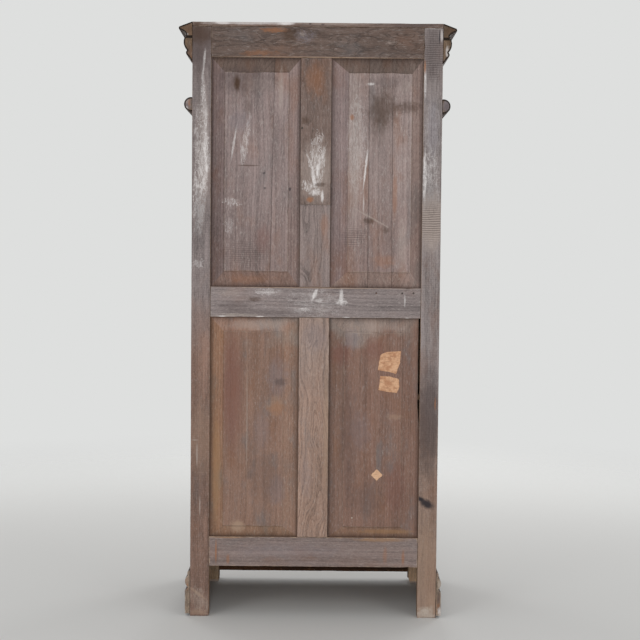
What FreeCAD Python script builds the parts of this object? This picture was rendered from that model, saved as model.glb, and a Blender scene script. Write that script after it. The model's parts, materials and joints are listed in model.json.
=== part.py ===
import FreeCAD, Part
import os
from math import pi
import Sketcher

# A tall two-door oak cabinet on four post feet, made as the real one is: posts, rails and
# fielded panels with tenons and grooves, planted mouldings, hinged doors with a lock.
# Millimetres. Z is up, the doors face -Y, and left and right are as seen from the front.
# The origin is on the floor, under the middle of the crown's outline.

document = FreeCAD.newDocument("Cabinet")
sheet = document.addObject("Spreadsheet::Sheet", "Sizes")

SIZES = (
    # whole carcass, without the mouldings that stand proud of it
    ("overall_height", 2083, "floor to the top of the top board"),
    ("carcass_width", 870, "across the posts"),
    ("carcass_depth", 535.5, "front face to back face of the posts"),
    ("top_board_thickness", 16, "board that lies on the posts and rails"),
    # posts
    ("post_rear_width", 67, "across the back face"),
    ("post_rear_thickness", 40, "front to back"),
    ("post_front_width", 63.5, "across the front face"),
    ("post_front_thickness", 52, "front to back"),
    # frames: rails, muntins and the joints that hold them
    ("frame_thickness", 28, "rails and muntins"),
    ("rail_top_height", 106, "top rail of the back"),
    ("rail_middle_height", 106, "middle rails of the back, the sides and the doors"),
    ("rail_middle_lift", 1060, "floor to the lower edge of the middle rails"),
    ("rail_bottom_height", 105, "bottom rail of the back"),
    ("rail_bottom_top", 285, "floor to the upper edge of the back's bottom rail"),
    ("skirted_rail_lift", 120, "floor to the lower edge of the bottom rails behind the skirt"),
    ("muntin_width", 106, "upright between two back panels"),
    ("muntin_shift", 4, "muntins' middle to the right of the cabinet's"),
    ("muntin_recess", 7, "upper muntin's face behind the back face"),
    ("patch_foot_rise", 288, "middle rail up to the foot of the board let in on the upper muntin"),
    ("tenon_length", 28, "from the shoulder"),
    ("tenon_shoulder", 14, "rail left above and below its tenon"),
    ("mortise_clearance", 0.2, "round a tenon, and past its end"),
    ("groove_setback", 11, "outer face to the panel groove"),
    ("groove_width", 8, "panel groove, and the tenons in line with it"),
    ("groove_depth", 10, "into the edge of the frame"),
    # panels
    ("tongue_slip", 0.2, "each side of a panel's edge in its groove"),
    ("panel_room", 1, "left in the groove for a panel to swell, but not below it"),
    ("panel_rise", 8, "height of the bevel over the panel's edge"),
    ("panel_step", 1.5, "small step from the bevel to the field"),
    ("panel_bevel", 45, "bevel width on the sides and the doors"),
    ("bevel_upper_right_outer", 46.5, "back panel, post side"),
    ("bevel_upper_right_inner", 41, "back panel, muntin side"),
    ("bevel_upper_left_outer", 37.5, "back panel, post side"),
    ("bevel_upper_left_inner", 60, "back panel, muntin side"),
    ("bevel_lower_right_outer", 47.5, "back panel, post side"),
    ("bevel_lower_right_inner", 54, "back panel, muntin side"),
    ("bevel_lower_left_outer", 60.5, "back panel, post side"),
    ("bevel_lower_left_inner", 52, "back panel, muntin side"),
    ("bevel_upper_head", 50, "top bevel of the upper back panels"),
    ("bevel_upper_foot", 54, "bottom bevel of the upper back panels"),
    ("bevel_lower_head", 50, "top bevel of the lower back panels"),
    ("bevel_lower_foot", 38, "bottom bevel of the lower back panels"),
    # mouldings, from the top down
    ("crown_height", 53, "crown moulding under the top face"),
    ("crown_reach", 47.5, "how far the crown stands out"),
    ("cushion_height", 87, "cushion moulding with its bead and cove"),
    ("cushion_reach", 30, "how far the cushion stands out"),
    ("torus_drop", 310, "top of the cabinet down to the lower edge of the half-round moulding"),
    ("torus_height", 50, "half-round moulding"),
    ("torus_reach", 28, "how far the half-round stands out"),
    ("torus_margin", 10, "plain wood under the half-round, above the doors"),
    ("skirt_lift", 8.5, "floor to the skirt's lower edge"),
    ("skirt_height", 154.5, "skirt with its torus and bead"),
    ("skirt_reach", 18, "how far the skirt stands out"),
    ("apron_rise", 23.5, "cut-out between the front bracket feet"),
    # inside
    ("bottom_board_thickness", 20, "floor of the inside"),
    ("bottom_board_stop", 8, "floor's top above the front rail, where it stops the doors"),
    ("shelf_thickness", 20, "both shelves"),
    ("shelf_setback", 62, "front face to the shelves' front edge"),
    ("shelf_lower_lift", 790, "floor to the top of the lower shelf"),
    ("shelf_upper_lift", 1290, "floor to the top of the upper shelf"),
    ("shelf_clearance", 1, "round the shelves and the bottom board"),
    ("cleat_height", 30, "bars under the shelves and the bottom board"),
    ("cleat_thickness", 18, "bars under the shelves and the bottom board"),
    # doors
    ("door_thickness", 28, "stiles and rails"),
    ("door_gap_middle", 3, "between the two meeting stiles"),
    ("door_gap_hinge", 2, "between a door and its post"),
    ("door_gap_head", 3, "above a door"),
    ("door_gap_foot", 3, "below a door"),
    ("stile_hinge_width", 72, "door upright at the hinges"),
    ("stile_meeting_width", 66, "door upright at the middle"),
    ("door_rail_top_height", 90, "top rail of a door"),
    ("door_rail_bottom_height", 112, "bottom rail of a door"),
    # hinges: a lower half with the pin on the post, an upper half on the door
    ("barrel_radius", 7, "knuckle"),
    ("barrel_height", 46, "each half"),
    ("barrel_stand", 8, "pin's axis in front of the front face"),
    ("barrel_clearance", 0.3, "between the two halves"),
    ("pin_radius", 3.5, "hinge pin"),
    ("pin_clearance", 0.05, "round the pin in the upper half"),
    ("pin_length", 34, "pin above the lower half"),
    ("finial_height", 12, "turned tip of each half"),
    ("finial_radius", 2.5, "end of the tip"),
    ("leaf_thickness", 2.5, "plate let into the wood"),
    ("leaf_depth", 24, "plate's reach into the wood, front to back"),
    ("leaf_clearance", 0.15, "round the plate in its recess"),
    ("hinge_inset", 150, "door's end to the middle of the outer hinges"),
    # lock on the right door's inner face
    ("lock_setback", 3, "meeting edge to the case"),
    ("lock_width", 60, "case, across"),
    ("lock_height", 58, "case, upright"),
    ("lock_depth", 16, "case, front to back"),
    ("lock_wall", 2, "sheet of the case"),
    ("lock_drop", 24, "key's axis above the case's lower edge"),
    ("key_inset", 33, "meeting edge to the key's axis"),
    ("bolt_thickness", 7, "sliding bolt, front to back"),
    ("bolt_height", 14, "sliding bolt, upright"),
    ("bolt_length", 54, "sliding bolt"),
    ("bolt_clearance", 0.3, "round the bolt"),
    ("bolt_throw", 13, "travel in half a turn of the key"),
    ("bolt_notch_near", 2.5, "notch for the bit, before the key's axis when thrown"),
    ("bolt_notch_far", 7.5, "notch for the bit, past the key's axis when thrown"),
    ("key_shank_radius", 3, "key"),
    ("key_clearance", 0.05, "round the shank, in the escutcheon and the case"),
    ("key_bit_radius", 12, "key's axis to the end of the bit"),
    ("key_bit_thickness", 3, "bit"),
    ("key_bit_overlap", 3, "bit's reach into the bolt's notch"),
    ("key_stand", 24, "front face to the middle of the bow"),
    ("key_bow_radius", 10, "middle line of the bow's ring"),
    ("key_bow_wire", 2.5, "radius of the bow's ring"),
    ("key_collar_radius", 5, "stop on the shank"),
    ("key_collar_length", 4, "stop on the shank"),
    ("key_collar_gap", 0.5, "stop to the escutcheon"),
    ("keyhole_slack", 0.5, "round the key, in the wood"),
    ("escutcheon_thickness", 2, "plate on the right door"),
    ("escutcheon_radius", 46, "each of the plate's two long edges"),
    ("escutcheon_width", 34, "across its middle"),
    # slide bolt on the left door's inner face
    ("slide_plate_width", 30, "back plate"),
    ("slide_plate_height", 112, "back plate"),
    ("slide_plate_thickness", 2, "back plate"),
    ("slide_plate_drop", 14, "door's top to the back plate"),
    ("slide_keep_height", 13, "each of the two keeps that hold the bar"),
    ("slide_keep_wall", 3, "metal round the bar"),
    ("slide_bar_width", 12, "sliding bar, across"),
    ("slide_bar_thickness", 6, "sliding bar, front to back"),
    ("slide_bar_length", 150, "sliding bar"),
    ("slide_bar_drop", 3, "door's top to the bar's end, when it is down"),
    ("slide_clearance", 0.3, "round the bar"),
    ("slide_travel", 24, "bar's way up, behind the frieze rail"),
    ("slide_knob_radius", 5, "knob on the bar"),
    ("slide_knob_length", 14, "knob on the bar"),
    ("slide_knob_drop", 62, "bar's top to the knob"),
    # one overrun serves every cut that has to pass right through
    ("cut_overrun", 5, "past the faces of what is cut"),
)

for row, (alias, value, note) in enumerate(SIZES, 1):
    sheet.set("A%d" % row, alias)
    sheet.set("B%d" % row, str(value))
    sheet.set("C%d" % row, note)
    sheet.setAlias("B%d" % row, alias)
document.recompute()


class Length:
    """A length worked out from the sheet: its arithmetic as text, and its value now."""

    def __init__(self, text, value):
        self.text = text
        self.value = value

    def __add__(self, other):
        other = length(other)
        return Length("(%s + %s)" % (self.text, other.text), self.value + other.value)

    def __sub__(self, other):
        other = length(other)
        return Length("(%s - %s)" % (self.text, other.text), self.value - other.value)

    def __rsub__(self, other):
        return length(other) - self

    def __mul__(self, factor):
        return Length("(%s * %r)" % (self.text, factor), self.value * factor)

    def __rmul__(self, factor):
        return self * factor

    def __truediv__(self, divisor):
        return Length("(%s / %r)" % (self.text, divisor), self.value / divisor)

    def __neg__(self):
        return Length("(-%s)" % self.text, -self.value)


def length(value):
    """A Length as it is, and a plain number as one."""
    if isinstance(value, Length):
        return value
    return Length("%r" % value, value)


class Given:
    """The sheet's cells, each a Length under its alias."""

    def __getattr__(self, alias):
        return Length("Sizes." + alias, float(sheet.get(alias)))


given = Given()
ZERO = length(0)


def turn_about_z(degrees):
    return FreeCAD.Rotation(FreeCAD.Vector(0, 0, 1), degrees)


def bind(thing, path, value):
    thing.setExpression(path, length(value).text)


def put(thing, across=ZERO, deep=ZERO, up=ZERO, turn=0):
    """Places a thing, turned about Z by whole degrees."""
    thing.Placement = FreeCAD.Placement(FreeCAD.Vector(), turn_about_z(turn))
    bind(thing, "Placement.Base.x", across)
    bind(thing, "Placement.Base.y", deep)
    bind(thing, "Placement.Base.z", up)
    return thing


def block(name, across, deep, high):
    """A squared piece of wood or metal between two places along each axis."""
    piece = document.addObject("Part::Box", name)
    for side, (low, top) in zip(("Length", "Width", "Height"), (across, deep, high)):
        bind(piece, side, top - low)
    return put(piece, across[0], deep[0], high[0])


def rod(name, radius, axis, start, reach):
    """A round bar from start along the axis X, Y or Z."""
    piece = document.addObject("Part::Cylinder", name)
    bind(piece, "Radius", radius)
    bind(piece, "Height", reach)
    put(piece, *start)
    turned = {"X": FreeCAD.Rotation(FreeCAD.Vector(0, 1, 0), 90),
              "Y": FreeCAD.Rotation(FreeCAD.Vector(1, 0, 0), -90),
              "Z": FreeCAD.Rotation()}
    piece.Placement = FreeCAD.Placement(piece.Placement.Base, turned[axis])
    return piece


def group(name, things):
    pieces = document.addObject("Part::Compound", name)
    pieces.Links = things
    return pieces


def joined(name, things):
    piece = document.addObject("Part::MultiFuse", name)
    piece.Shapes = things
    piece.Refine = True
    return piece


def cut(name, base, tools):
    """The base less every tool."""
    piece = document.addObject("Part::Cut", name)
    piece.Base = base
    piece.Tool = tools[0] if len(tools) == 1 else group(name + "_space", tools)
    piece.Refine = True
    return piece


def grown(span, margin):
    return span[0] - margin, span[1] + margin


def mirrored(side, inner, outer):
    """The span from inner to outer on the right (side 1) or its mirror image on the left."""
    if side > 0:
        return inner, outer
    return -outer, -inner


SIDES = (("left", -1), ("right", 1))
bodies = {name: {} for name in ("carcass", "left_door", "right_door")}


# Places that several pieces share
back = (given.carcass_depth + given.crown_reach) / 2
front = back - given.carcass_depth
flank = given.carcass_width / 2
under_top = given.overall_height - given.top_board_thickness
middle_rail = (given.rail_middle_lift, given.rail_middle_lift + given.rail_middle_height)
bottom_rail_top = given.rail_bottom_top
back_rail_top_low = under_top - given.rail_top_height
torus_foot = given.overall_height - given.torus_drop
doorway_top = torus_foot - given.torus_margin
doorway_half = flank - given.post_front_width
back_layer = (back - given.frame_thickness, back)
front_layer = (front, front + given.frame_thickness)
between_posts = (front + given.post_front_thickness, back - given.post_rear_thickness)
back_opening = (given.post_rear_width - flank, flank - given.post_rear_width)
muntin = (given.muntin_shift - given.muntin_width / 2, given.muntin_shift + given.muntin_width / 2)
groove_near = given.groove_setback
groove_far = given.groove_setback + given.groove_width


# Layers that hold the grooves and tenons of each frame
back_groove = (back - groove_far, back - groove_near)
front_groove = (front + groove_near, front + groove_far)
side_grooves = {side: mirrored(side, flank - groove_far, flank - groove_near) for _, side in SIDES}


def frame_piece(name, across, deep, high, tenons=(), spaces=()):
    """A post, rail, stile or muntin: a squared length, its tenons, less mortises and grooves."""
    piece = block(name + "_stock", across, deep, high)
    if tenons:
        ends = [block("%s_tenon_%d" % (name, i), *span) for i, span in enumerate(tenons, 1)]
        piece = joined(name + "_tenoned", [piece] + ends)
    tools = [block("%s_space_%d" % (name, i), *span) for i, span in enumerate(spaces, 1)]
    if tools:
        piece = cut(name + "_cut", piece, tools)
    return piece


def part(body, name, piece, solids=1):
    """Names a finished piece as a sub-part of a body."""
    piece.Label = name
    bodies[body][name] = (piece, solids)
    return piece


def tenon_along(axis, span, layer, rail):
    """Two tenons past a rail's or muntin's shoulders, along X, Y or Z."""
    shoulder = (rail[0] + given.tenon_shoulder, rail[1] - given.tenon_shoulder)
    ends = ((span[0] - given.tenon_length, span[0]), (span[1], span[1] + given.tenon_length))
    order = {"X": lambda end: (end, layer, shoulder),
             "Y": lambda end: (layer, end, shoulder),
             "Z": lambda end: (shoulder, layer, end)}
    return [order[axis](end) for end in ends]


def mortise(tenon):
    """The space a tenon needs."""
    return tuple(grown(span, given.mortise_clearance) for span in tenon)


def groove_space(axis, across, layer, high):
    """The groove space round an opening whose panel lies across X or across Y."""
    wide = grown(across, given.groove_depth)
    tall = grown(high, given.groove_depth)
    return (wide, layer, tall) if axis == "X" else (layer, wide, tall)


# Panel openings: each wall has an upper and a lower row
upper_back = (middle_rail[1], back_rail_top_low)
lower_row = (bottom_rail_top, middle_rail[0])
upper_side = (middle_rail[1], doorway_top)
back_halves = {-1: (back_opening[0], muntin[0]), 1: (muntin[1], back_opening[1])}
skirted_rail = (given.skirted_rail_lift, bottom_rail_top)
frieze = (doorway_top, under_top)


# Tenons of every rail and muntin, by the name of their piece
back_rails = {"back_rail_top": (back_rail_top_low, under_top),
              "back_rail_middle": middle_rail,
              "back_rail_bottom": (bottom_rail_top - given.rail_bottom_height, bottom_rail_top)}
side_rails = {"side_rail_top": frieze, "side_rail_middle": middle_rail,
              "side_rail_bottom": skirted_rail}
front_rails = {"front_rail_frieze": frieze, "front_rail_bottom": skirted_rail}
muntins = {"back_muntin_upper": upper_back, "back_muntin_lower": lower_row}
doorway = (-doorway_half, doorway_half)

back_tenons = {name: tenon_along("X", back_opening, back_groove, high)
               for name, high in back_rails.items()}
front_tenons = {name: tenon_along("X", doorway, front_groove, high)
                for name, high in front_rails.items()}
side_tenons = {(name, side): tenon_along("Y", between_posts, side_grooves[side], high)
               for name, high in side_rails.items() for _, side in SIDES}
muntin_tenons = {name: tenon_along("Z", high, back_groove, muntin)
                 for name, high in muntins.items()}


# Grooves of every panel of the carcass
back_grooves = {(row, side): groove_space("X", back_halves[side], back_groove, high)
                for row, high in (("upper", upper_back), ("lower", lower_row))
                for _, side in SIDES}
panel_grooves = {(row, side): groove_space("Y", between_posts, side_grooves[side], high)
                 for row, high in (("upper", upper_side), ("lower", lower_row))
                 for _, side in SIDES}


# Hinges: where each pair of halves sits, and the recesses of their leaves
door_low = bottom_rail_top + given.door_gap_foot
door_high = doorway_top - given.door_gap_head
door_edge = doorway_half - given.door_gap_hinge
meeting_edge = given.door_gap_middle / 2
pin_across = doorway_half - given.door_gap_hinge / 2
pin_deep = front - given.barrel_stand
lowest_hinge = door_low + given.hinge_inset
highest_hinge = door_high - given.hinge_inset
hinge_levels = (lowest_hinge, (lowest_hinge + highest_hinge) / 2, highest_hinge)


def lower_half(level):
    top = level - given.barrel_clearance / 2
    return top - given.barrel_height, top


def upper_half(level):
    low = level + given.barrel_clearance / 2
    return low, low + given.barrel_height


def leaf(side, half, level):
    """A hinge leaf: on the post's inner face, or on the door's edge."""
    deep = (pin_deep, front + given.leaf_depth)
    if half == "post":
        across = mirrored(side, doorway_half, doorway_half + given.leaf_thickness)
        return across, deep, lower_half(level)
    across = mirrored(side, door_edge - given.leaf_thickness, door_edge)
    return across, deep, upper_half(level)


def leaf_recess(side, half, level):
    """The space of a leaf, open to the edge that it is let into and to the front."""
    _, deep, high = leaf(side, half, level)
    slack = given.leaf_clearance
    open_deep = (front - given.cut_overrun, deep[1] + slack)
    if half == "post":
        inner = doorway_half - given.cut_overrun
        across = mirrored(side, inner, doorway_half + given.leaf_thickness + slack)
    else:
        outer = door_edge + given.cut_overrun
        across = mirrored(side, door_edge - given.leaf_thickness - slack, outer)
    return across, open_deep, grown(high, slack)


# Posts: four squared lengths of oak from the floor to the top board
def rear_post(name, side):
    end = 0 if side < 0 else 1
    tenons = [pair[end] for pair in back_tenons.values()]
    tenons += [side_tenons[rail, side][1] for rail in side_rails]
    spaces = [mortise(tenon) for tenon in tenons]
    spaces += [back_grooves[row, side] for row in ("upper", "lower")]
    spaces += [panel_grooves[row, side] for row in ("upper", "lower")]
    across = mirrored(side, flank - given.post_rear_width, flank)
    deep = (back - given.post_rear_thickness, back)
    return frame_piece(name, across, deep, (ZERO, under_top), spaces=spaces)


def front_post(name, side):
    end = 0 if side < 0 else 1
    tenons = [pair[end] for pair in front_tenons.values()]
    tenons += [side_tenons[rail, side][0] for rail in side_rails]
    spaces = [mortise(tenon) for tenon in tenons]
    spaces += [panel_grooves[row, side] for row in ("upper", "lower")]
    spaces += [leaf_recess(side, "post", level) for level in hinge_levels]
    across = mirrored(side, doorway_half, flank)
    deep = (front, front + given.post_front_thickness)
    return frame_piece(name, across, deep, (ZERO, under_top), spaces=spaces)


for side_name, side in SIDES:
    for place, make_post in (("rear", rear_post), ("front", front_post)):
        name = "post_%s_%s" % (place, side_name)
        part("carcass", name, make_post(name, side))


# Back frame: three rails with two muntins, and a patch let in on the upper muntin
rows_by_rail = {"back_rail_top": ("upper",), "back_rail_middle": ("upper", "lower"),
                "back_rail_bottom": ("lower",)}
muntin_ends = {"back_rail_top": (("back_muntin_upper", 1),),
               "back_rail_middle": (("back_muntin_upper", 0), ("back_muntin_lower", 1)),
               "back_rail_bottom": (("back_muntin_lower", 0),)}
for name, high in back_rails.items():
    spaces = [back_grooves[row, side] for row in rows_by_rail[name] for _, side in SIDES]
    spaces += [mortise(muntin_tenons[upright][end]) for upright, end in muntin_ends[name]]
    rail = frame_piece(name, back_opening, back_layer, high, back_tenons[name], spaces)
    part("carcass", name, rail)

recessed_layer = (back_layer[0], back - given.muntin_recess)
for name, row, layer in (("back_muntin_upper", "upper", recessed_layer),
                         ("back_muntin_lower", "lower", back_layer)):
    spaces = [back_grooves[row, side] for _, side in SIDES]
    upright = frame_piece(name, muntin, layer, muntins[name], muntin_tenons[name], spaces)
    part("carcass", name, upright)
patch_high = (upper_back[0] + given.patch_foot_rise, upper_back[1])
patch = block("back_muntin_patch_stock", muntin, (recessed_layer[1], back), patch_high)
part("carcass", "back_muntin_patch", patch)


# Side frames: three rails on each side between the posts
for side_name, side in SIDES:
    layer = mirrored(side, flank - given.frame_thickness, flank)
    rows = {"side_rail_top": ("upper",), "side_rail_middle": ("upper", "lower"),
            "side_rail_bottom": ("lower",)}
    for rail_name, high in side_rails.items():
        name = "%s_%s" % (rail_name, side_name)
        spaces = [panel_grooves[row, side] for row in rows[rail_name]]
        rail = frame_piece(name, layer, between_posts, high, side_tenons[rail_name, side], spaces)
        part("carcass", name, rail)


# Front frame: the frieze rail over the doors and the rail below them
for name, high in front_rails.items():
    rail = frame_piece(name, doorway, front_layer, high, front_tenons[name])
    part("carcass", name, rail)


# Panels: a thin edge for the grooves, a bevel all round and a raised field
tongue_thickness = given.groove_width - given.tongue_slip * 2
tongue_face = given.groove_setback + given.tongue_slip


def fielded_panel(name, width, high, bevels, place, turn):
    """A panel that faces +Y before its turn; bevels are low side, high side, foot and head."""
    half = width / 2
    low_side, high_side, foot, head = bevels
    reach = given.groove_depth - given.panel_room
    edge = block(name + "_edge", (-half - reach, half + reach), (-tongue_thickness, ZERO),
                 (high[0] - given.groove_depth, high[1] + reach))
    bevel = document.addObject("Part::Wedge", name + "_bevel")
    field = ((low_side - half, half - high_side), (high[0] + foot, high[1] - head))
    corners = {"Xmin": -half, "Xmax": half, "Zmin": high[0], "Zmax": high[1],
               "Ymin": ZERO, "Ymax": given.panel_rise,
               "X2min": field[0][0], "X2max": field[0][1],
               "Z2min": field[1][0], "Z2max": field[1][1]}
    for corner, value in corners.items():
        bind(bevel, corner, value)
    raised = block(name + "_field", field[0], (ZERO, given.panel_rise + given.panel_step), field[1])
    return put(joined(name + "_wood", [edge, bevel, raised]), place[0], place[1], ZERO, turn)


back_bevels = {
    ("upper", 1): (given.bevel_upper_right_inner, given.bevel_upper_right_outer),
    ("upper", -1): (given.bevel_upper_left_outer, given.bevel_upper_left_inner),
    ("lower", 1): (given.bevel_lower_right_inner, given.bevel_lower_right_outer),
    ("lower", -1): (given.bevel_lower_left_outer, given.bevel_lower_left_inner)}
row_bevels = {"upper": (given.bevel_upper_foot, given.bevel_upper_head),
              "lower": (given.bevel_lower_foot, given.bevel_lower_head)}
even_bevels = (given.panel_bevel,) * 4
for side_name, side in SIDES:
    for row, high in (("upper", upper_back), ("lower", lower_row)):
        name = "back_panel_%s_%s" % (row, side_name)
        low, top = back_halves[side]
        middle = (low + top) / 2
        panel = fielded_panel(name, top - low, high, back_bevels[row, side] + row_bevels[row],
                              (middle, back - tongue_face), 0)
        part("carcass", name, panel)
    for row, high in (("upper", upper_side), ("lower", lower_row)):
        name = "side_panel_%s_%s" % (row, side_name)
        low, top = between_posts
        place = ((flank - tongue_face) * side, (low + top) / 2)
        panel = fielded_panel(name, top - low, high, even_bevels, place, -90 * side)
        part("carcass", name, panel)


# Top board, bottom board, shelves and the cleats that carry them
top_board = block("top_board_wood", (-flank, flank), (front, back),
                  (under_top, given.overall_height))
part("carcass", "top_board", top_board)

slack = given.shelf_clearance
inner_flank = flank - given.frame_thickness
floor_top = bottom_rail_top + given.bottom_board_stop
floor_layer = (floor_top - given.bottom_board_thickness, floor_top)
through = grown(floor_layer, given.cut_overrun)
floor_board = block("floor_stock", (slack - inner_flank, inner_flank - slack),
                    (front_layer[1] + slack, back_layer[0] - slack), floor_layer)
notches = []
for side_name, side in SIDES:
    beside = mirrored(side, doorway_half - slack, flank)
    notches.append(block("floor_notch_front_" + side_name, beside,
                         (front, between_posts[0] + slack), through))
    beside = mirrored(side, flank - given.post_rear_width - slack, flank)
    notches.append(block("floor_notch_rear_" + side_name, beside,
                         (between_posts[1] - slack, back), through))
part("carcass", "bottom_board", cut("floor_board", floor_board, notches))

shelf_tops = {"shelf_lower": given.shelf_lower_lift, "shelf_upper": given.shelf_upper_lift}
for name, lift in shelf_tops.items():
    board = block(name + "_wood", (slack - inner_flank, inner_flank - slack),
                  (front + given.shelf_setback, between_posts[1] - slack),
                  (lift - given.shelf_thickness, lift))
    part("carcass", name, board)

cleats = []
undersides = [floor_layer[0]] + [lift - given.shelf_thickness for lift in shelf_tops.values()]
for side_name, side in SIDES:
    for i, underside in enumerate(undersides, 1):
        across = mirrored(side, inner_flank - given.cleat_thickness, inner_flank)
        cleats.append(block("cleat_%s_%d" % (side_name, i), across, between_posts,
                            (underside - given.cleat_height, underside)))
part("carcass", "shelf_cleats", group("cleats", cleats), len(cleats))


# Mouldings: one profile along the front and both sides, mitred at the front corners
def origin_plane(body, role):
    return next(plane for plane in body.Origin.OriginFeatures if plane.Role == role)


def drawn(body, name, role, loops):
    """A sketch of closed loops, every point held by the sheet. A loop's entry is a corner,
    or a corner and the point that an arc passes through on its way there."""
    sketch = body.newObject("Sketcher::SketchObject", name)
    sketch.AttachmentSupport = [(origin_plane(body, role), "")]
    sketch.MapMode = "FlatFace"
    for loop in loops:
        add_loop(sketch, loop)
    return sketch


def point_of(corner):
    return FreeCAD.Vector(corner[0].value, corner[1].value, 0)


def add_loop(sketch, loop):
    loop = [tuple(length(value) for value in entry) for entry in loop]
    ends = []
    for entry, following in zip(loop, loop[1:] + loop[:1]):
        start, finish = point_of(entry), point_of(following)
        if len(following) == 2:
            geometry = sketch.addGeometry(Part.LineSegment(start, finish))
            ends.append((geometry, 1, 2))
            continue
        middle = point_of(following[2:])
        turns_left = (middle - start).cross(finish - middle).z > 0
        first, last = (start, finish) if turns_left else (finish, start)
        geometry = sketch.addGeometry(Part.Arc(first, middle, last))
        ends.append((geometry, 1, 2) if turns_left else (geometry, 2, 1))
        passed = sketch.addGeometry(Part.Point(middle), True)
        hold(sketch, passed, 1, following[2:])
        sketch.addConstraint(Sketcher.Constraint("PointOnObject", passed, 1, geometry))
    for this, following in zip(ends, ends[1:] + ends[:1]):
        sketch.addConstraint(Sketcher.Constraint("Coincident", this[0], this[2],
                                                 following[0], following[1]))
    for (geometry, start_end, _), entry in zip(ends, loop):
        hold(sketch, geometry, start_end, entry)


def hold(sketch, geometry, end, corner):
    """Holds a point of a sketch at its place from the sheet."""
    for kind, value in zip(("DistanceX", "DistanceY"), corner):
        rule = Sketcher.Constraint(kind, -1, 1, geometry, end, value.value)
        index = sketch.addConstraint(rule)
        sketch.setExpression("Constraints[%d]" % index, value.text)


def pocket(body, sketch, through_length, name):
    """Cuts a sketch away on the side of its plane that its normal points to."""
    taken = body.newObject("PartDesign::Pocket", name)
    taken.Profile = sketch
    taken.Reversed = True
    bind(taken, "Length", through_length)
    return taken


def moulding(name, profile_shares, height, reach, run, mitres):
    """A planted moulding along +Y that stands out to +X; mitres are "start" and "end"."""
    body = document.addObject("PartDesign::Body", name)
    profile = [tuple(share * (reach, height)[i % 2] for i, share in enumerate(entry))
               for entry in profile_shares]
    total = run + reach * len(mitres)
    pad = body.newObject("PartDesign::Pad", name + "_length")
    pad.Profile = drawn(body, name + "_profile", "XZ_Plane", [profile])
    pad.Reversed = True
    bind(pad, "Length", total)
    over = given.cut_overrun
    triangles = {
        "start": [(-over, -over), (reach + over, -over), (-over, reach + over)],
        "end": [(-over, total + over), (-over, total - reach - over), (reach + over, total + over)]}
    loops = [triangles[end] for end in mitres]
    pocket(body, drawn(body, name + "_mitre", "XY_Plane", loops), height, name + "_mitred")
    return body


def course(name, profile_shares, lift, height, reach):
    """The three lengths of one moulding: front, left and right."""
    shape = (profile_shares, height, reach)
    across_front = moulding(name + "_front", *shape, given.carcass_width, ("start", "end"))
    along_left = moulding(name + "_left", *shape, given.carcass_depth, ("end",))
    along_right = moulding(name + "_right", *shape, given.carcass_depth, ("start",))
    put(across_front, -flank - reach, front, lift, -90)
    put(along_left, -flank, back, lift, 180)
    put(along_right, flank, front - reach, lift)
    return [across_front, along_left, along_right]


# Profiles: shares of the reach and of the height, from the foot outwards and up
CROWN_SHARES = (
    (0, 0), (0.42, 0), (0.45, 0.17, 0.50, 0.085), (0.84, 0.4415, 0.56, 0.29), (0.921, 0.4415),
    (0.921, 0.687, 1, 0.564), (0, 1))
CUSHION_SHARES = (
    (0, 0), (0.50, 0.25, 0.20, 0.095), (0.60, 0.47, 0.74, 0.37), (0.86, 1, 1, 0.73), (0, 1))
TORUS_SHARES = ((0, 0), (0.16, 0), (0.16, 1, 1, 0.5), (0, 1))
SKIRT_SHARES = (
    (0, 0), (1, 0), (1, 0.49), (0.62, 0.57, 0.93, 0.545), (0.42, 0.61), (0.42, 0.88, 1, 0.745),
    (0.46, 0.90), (0.10, 1, 0.50, 0.955), (0, 1))

crown_foot = given.overall_height - given.crown_height
crown = course("crown", CROWN_SHARES, crown_foot, given.crown_height, given.crown_reach)
part("carcass", "crown_moulding", group("crown_lengths", crown), len(crown))
cushion_foot = crown_foot - given.cushion_height
cushion = course("cushion", CUSHION_SHARES, cushion_foot, given.cushion_height,
                 given.cushion_reach)
part("carcass", "cushion_moulding", group("cushion_lengths", cushion), len(cushion))
torus = course("torus", TORUS_SHARES, torus_foot, given.torus_height, given.torus_reach)
part("carcass", "torus_moulding", group("torus_lengths", torus), len(torus))

skirt = course("skirt", SKIRT_SHARES, given.skirt_lift, given.skirt_height, given.skirt_reach)
start = given.skirt_reach + given.post_front_width
finish = start + doorway_half * 2
apron_loop = [
    (start, -given.cut_overrun), (start, given.apron_rise), (finish, given.apron_rise),
    (finish, -given.cut_overrun)]
apron = drawn(skirt[0], "apron", "YZ_Plane", [apron_loop])
pocket(skirt[0], apron, given.skirt_reach + given.cut_overrun, "apron_cut")
for name, run in zip(("skirt_front", "skirt_left", "skirt_right"), skirt):
    part("carcass", name, run)


# Doors: two stiles, three rails and two fielded panels each
door_layer = (front, front + given.door_thickness)
door_rails = {"rail_top": (door_high - given.door_rail_top_height, door_high),
              "rail_middle": middle_rail,
              "rail_bottom": (door_low, door_low + given.door_rail_bottom_height)}
door_rows = {"upper": (middle_rail[1], door_rails["rail_top"][0]),
             "lower": (door_rails["rail_bottom"][1], middle_rail[0])}
rows_of_rail = {"rail_top": ("upper",), "rail_middle": ("upper", "lower"), "rail_bottom": ("lower",)}
key_level = (middle_rail[0] + middle_rail[1]) / 2
key_across = meeting_edge + given.key_inset
key_in_door = given.key_shank_radius + given.keyhole_slack
door_rear = door_layer[1]
bolt_layer = (door_rear + given.bolt_clearance,
              door_rear + given.bolt_clearance + given.bolt_thickness)


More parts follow.
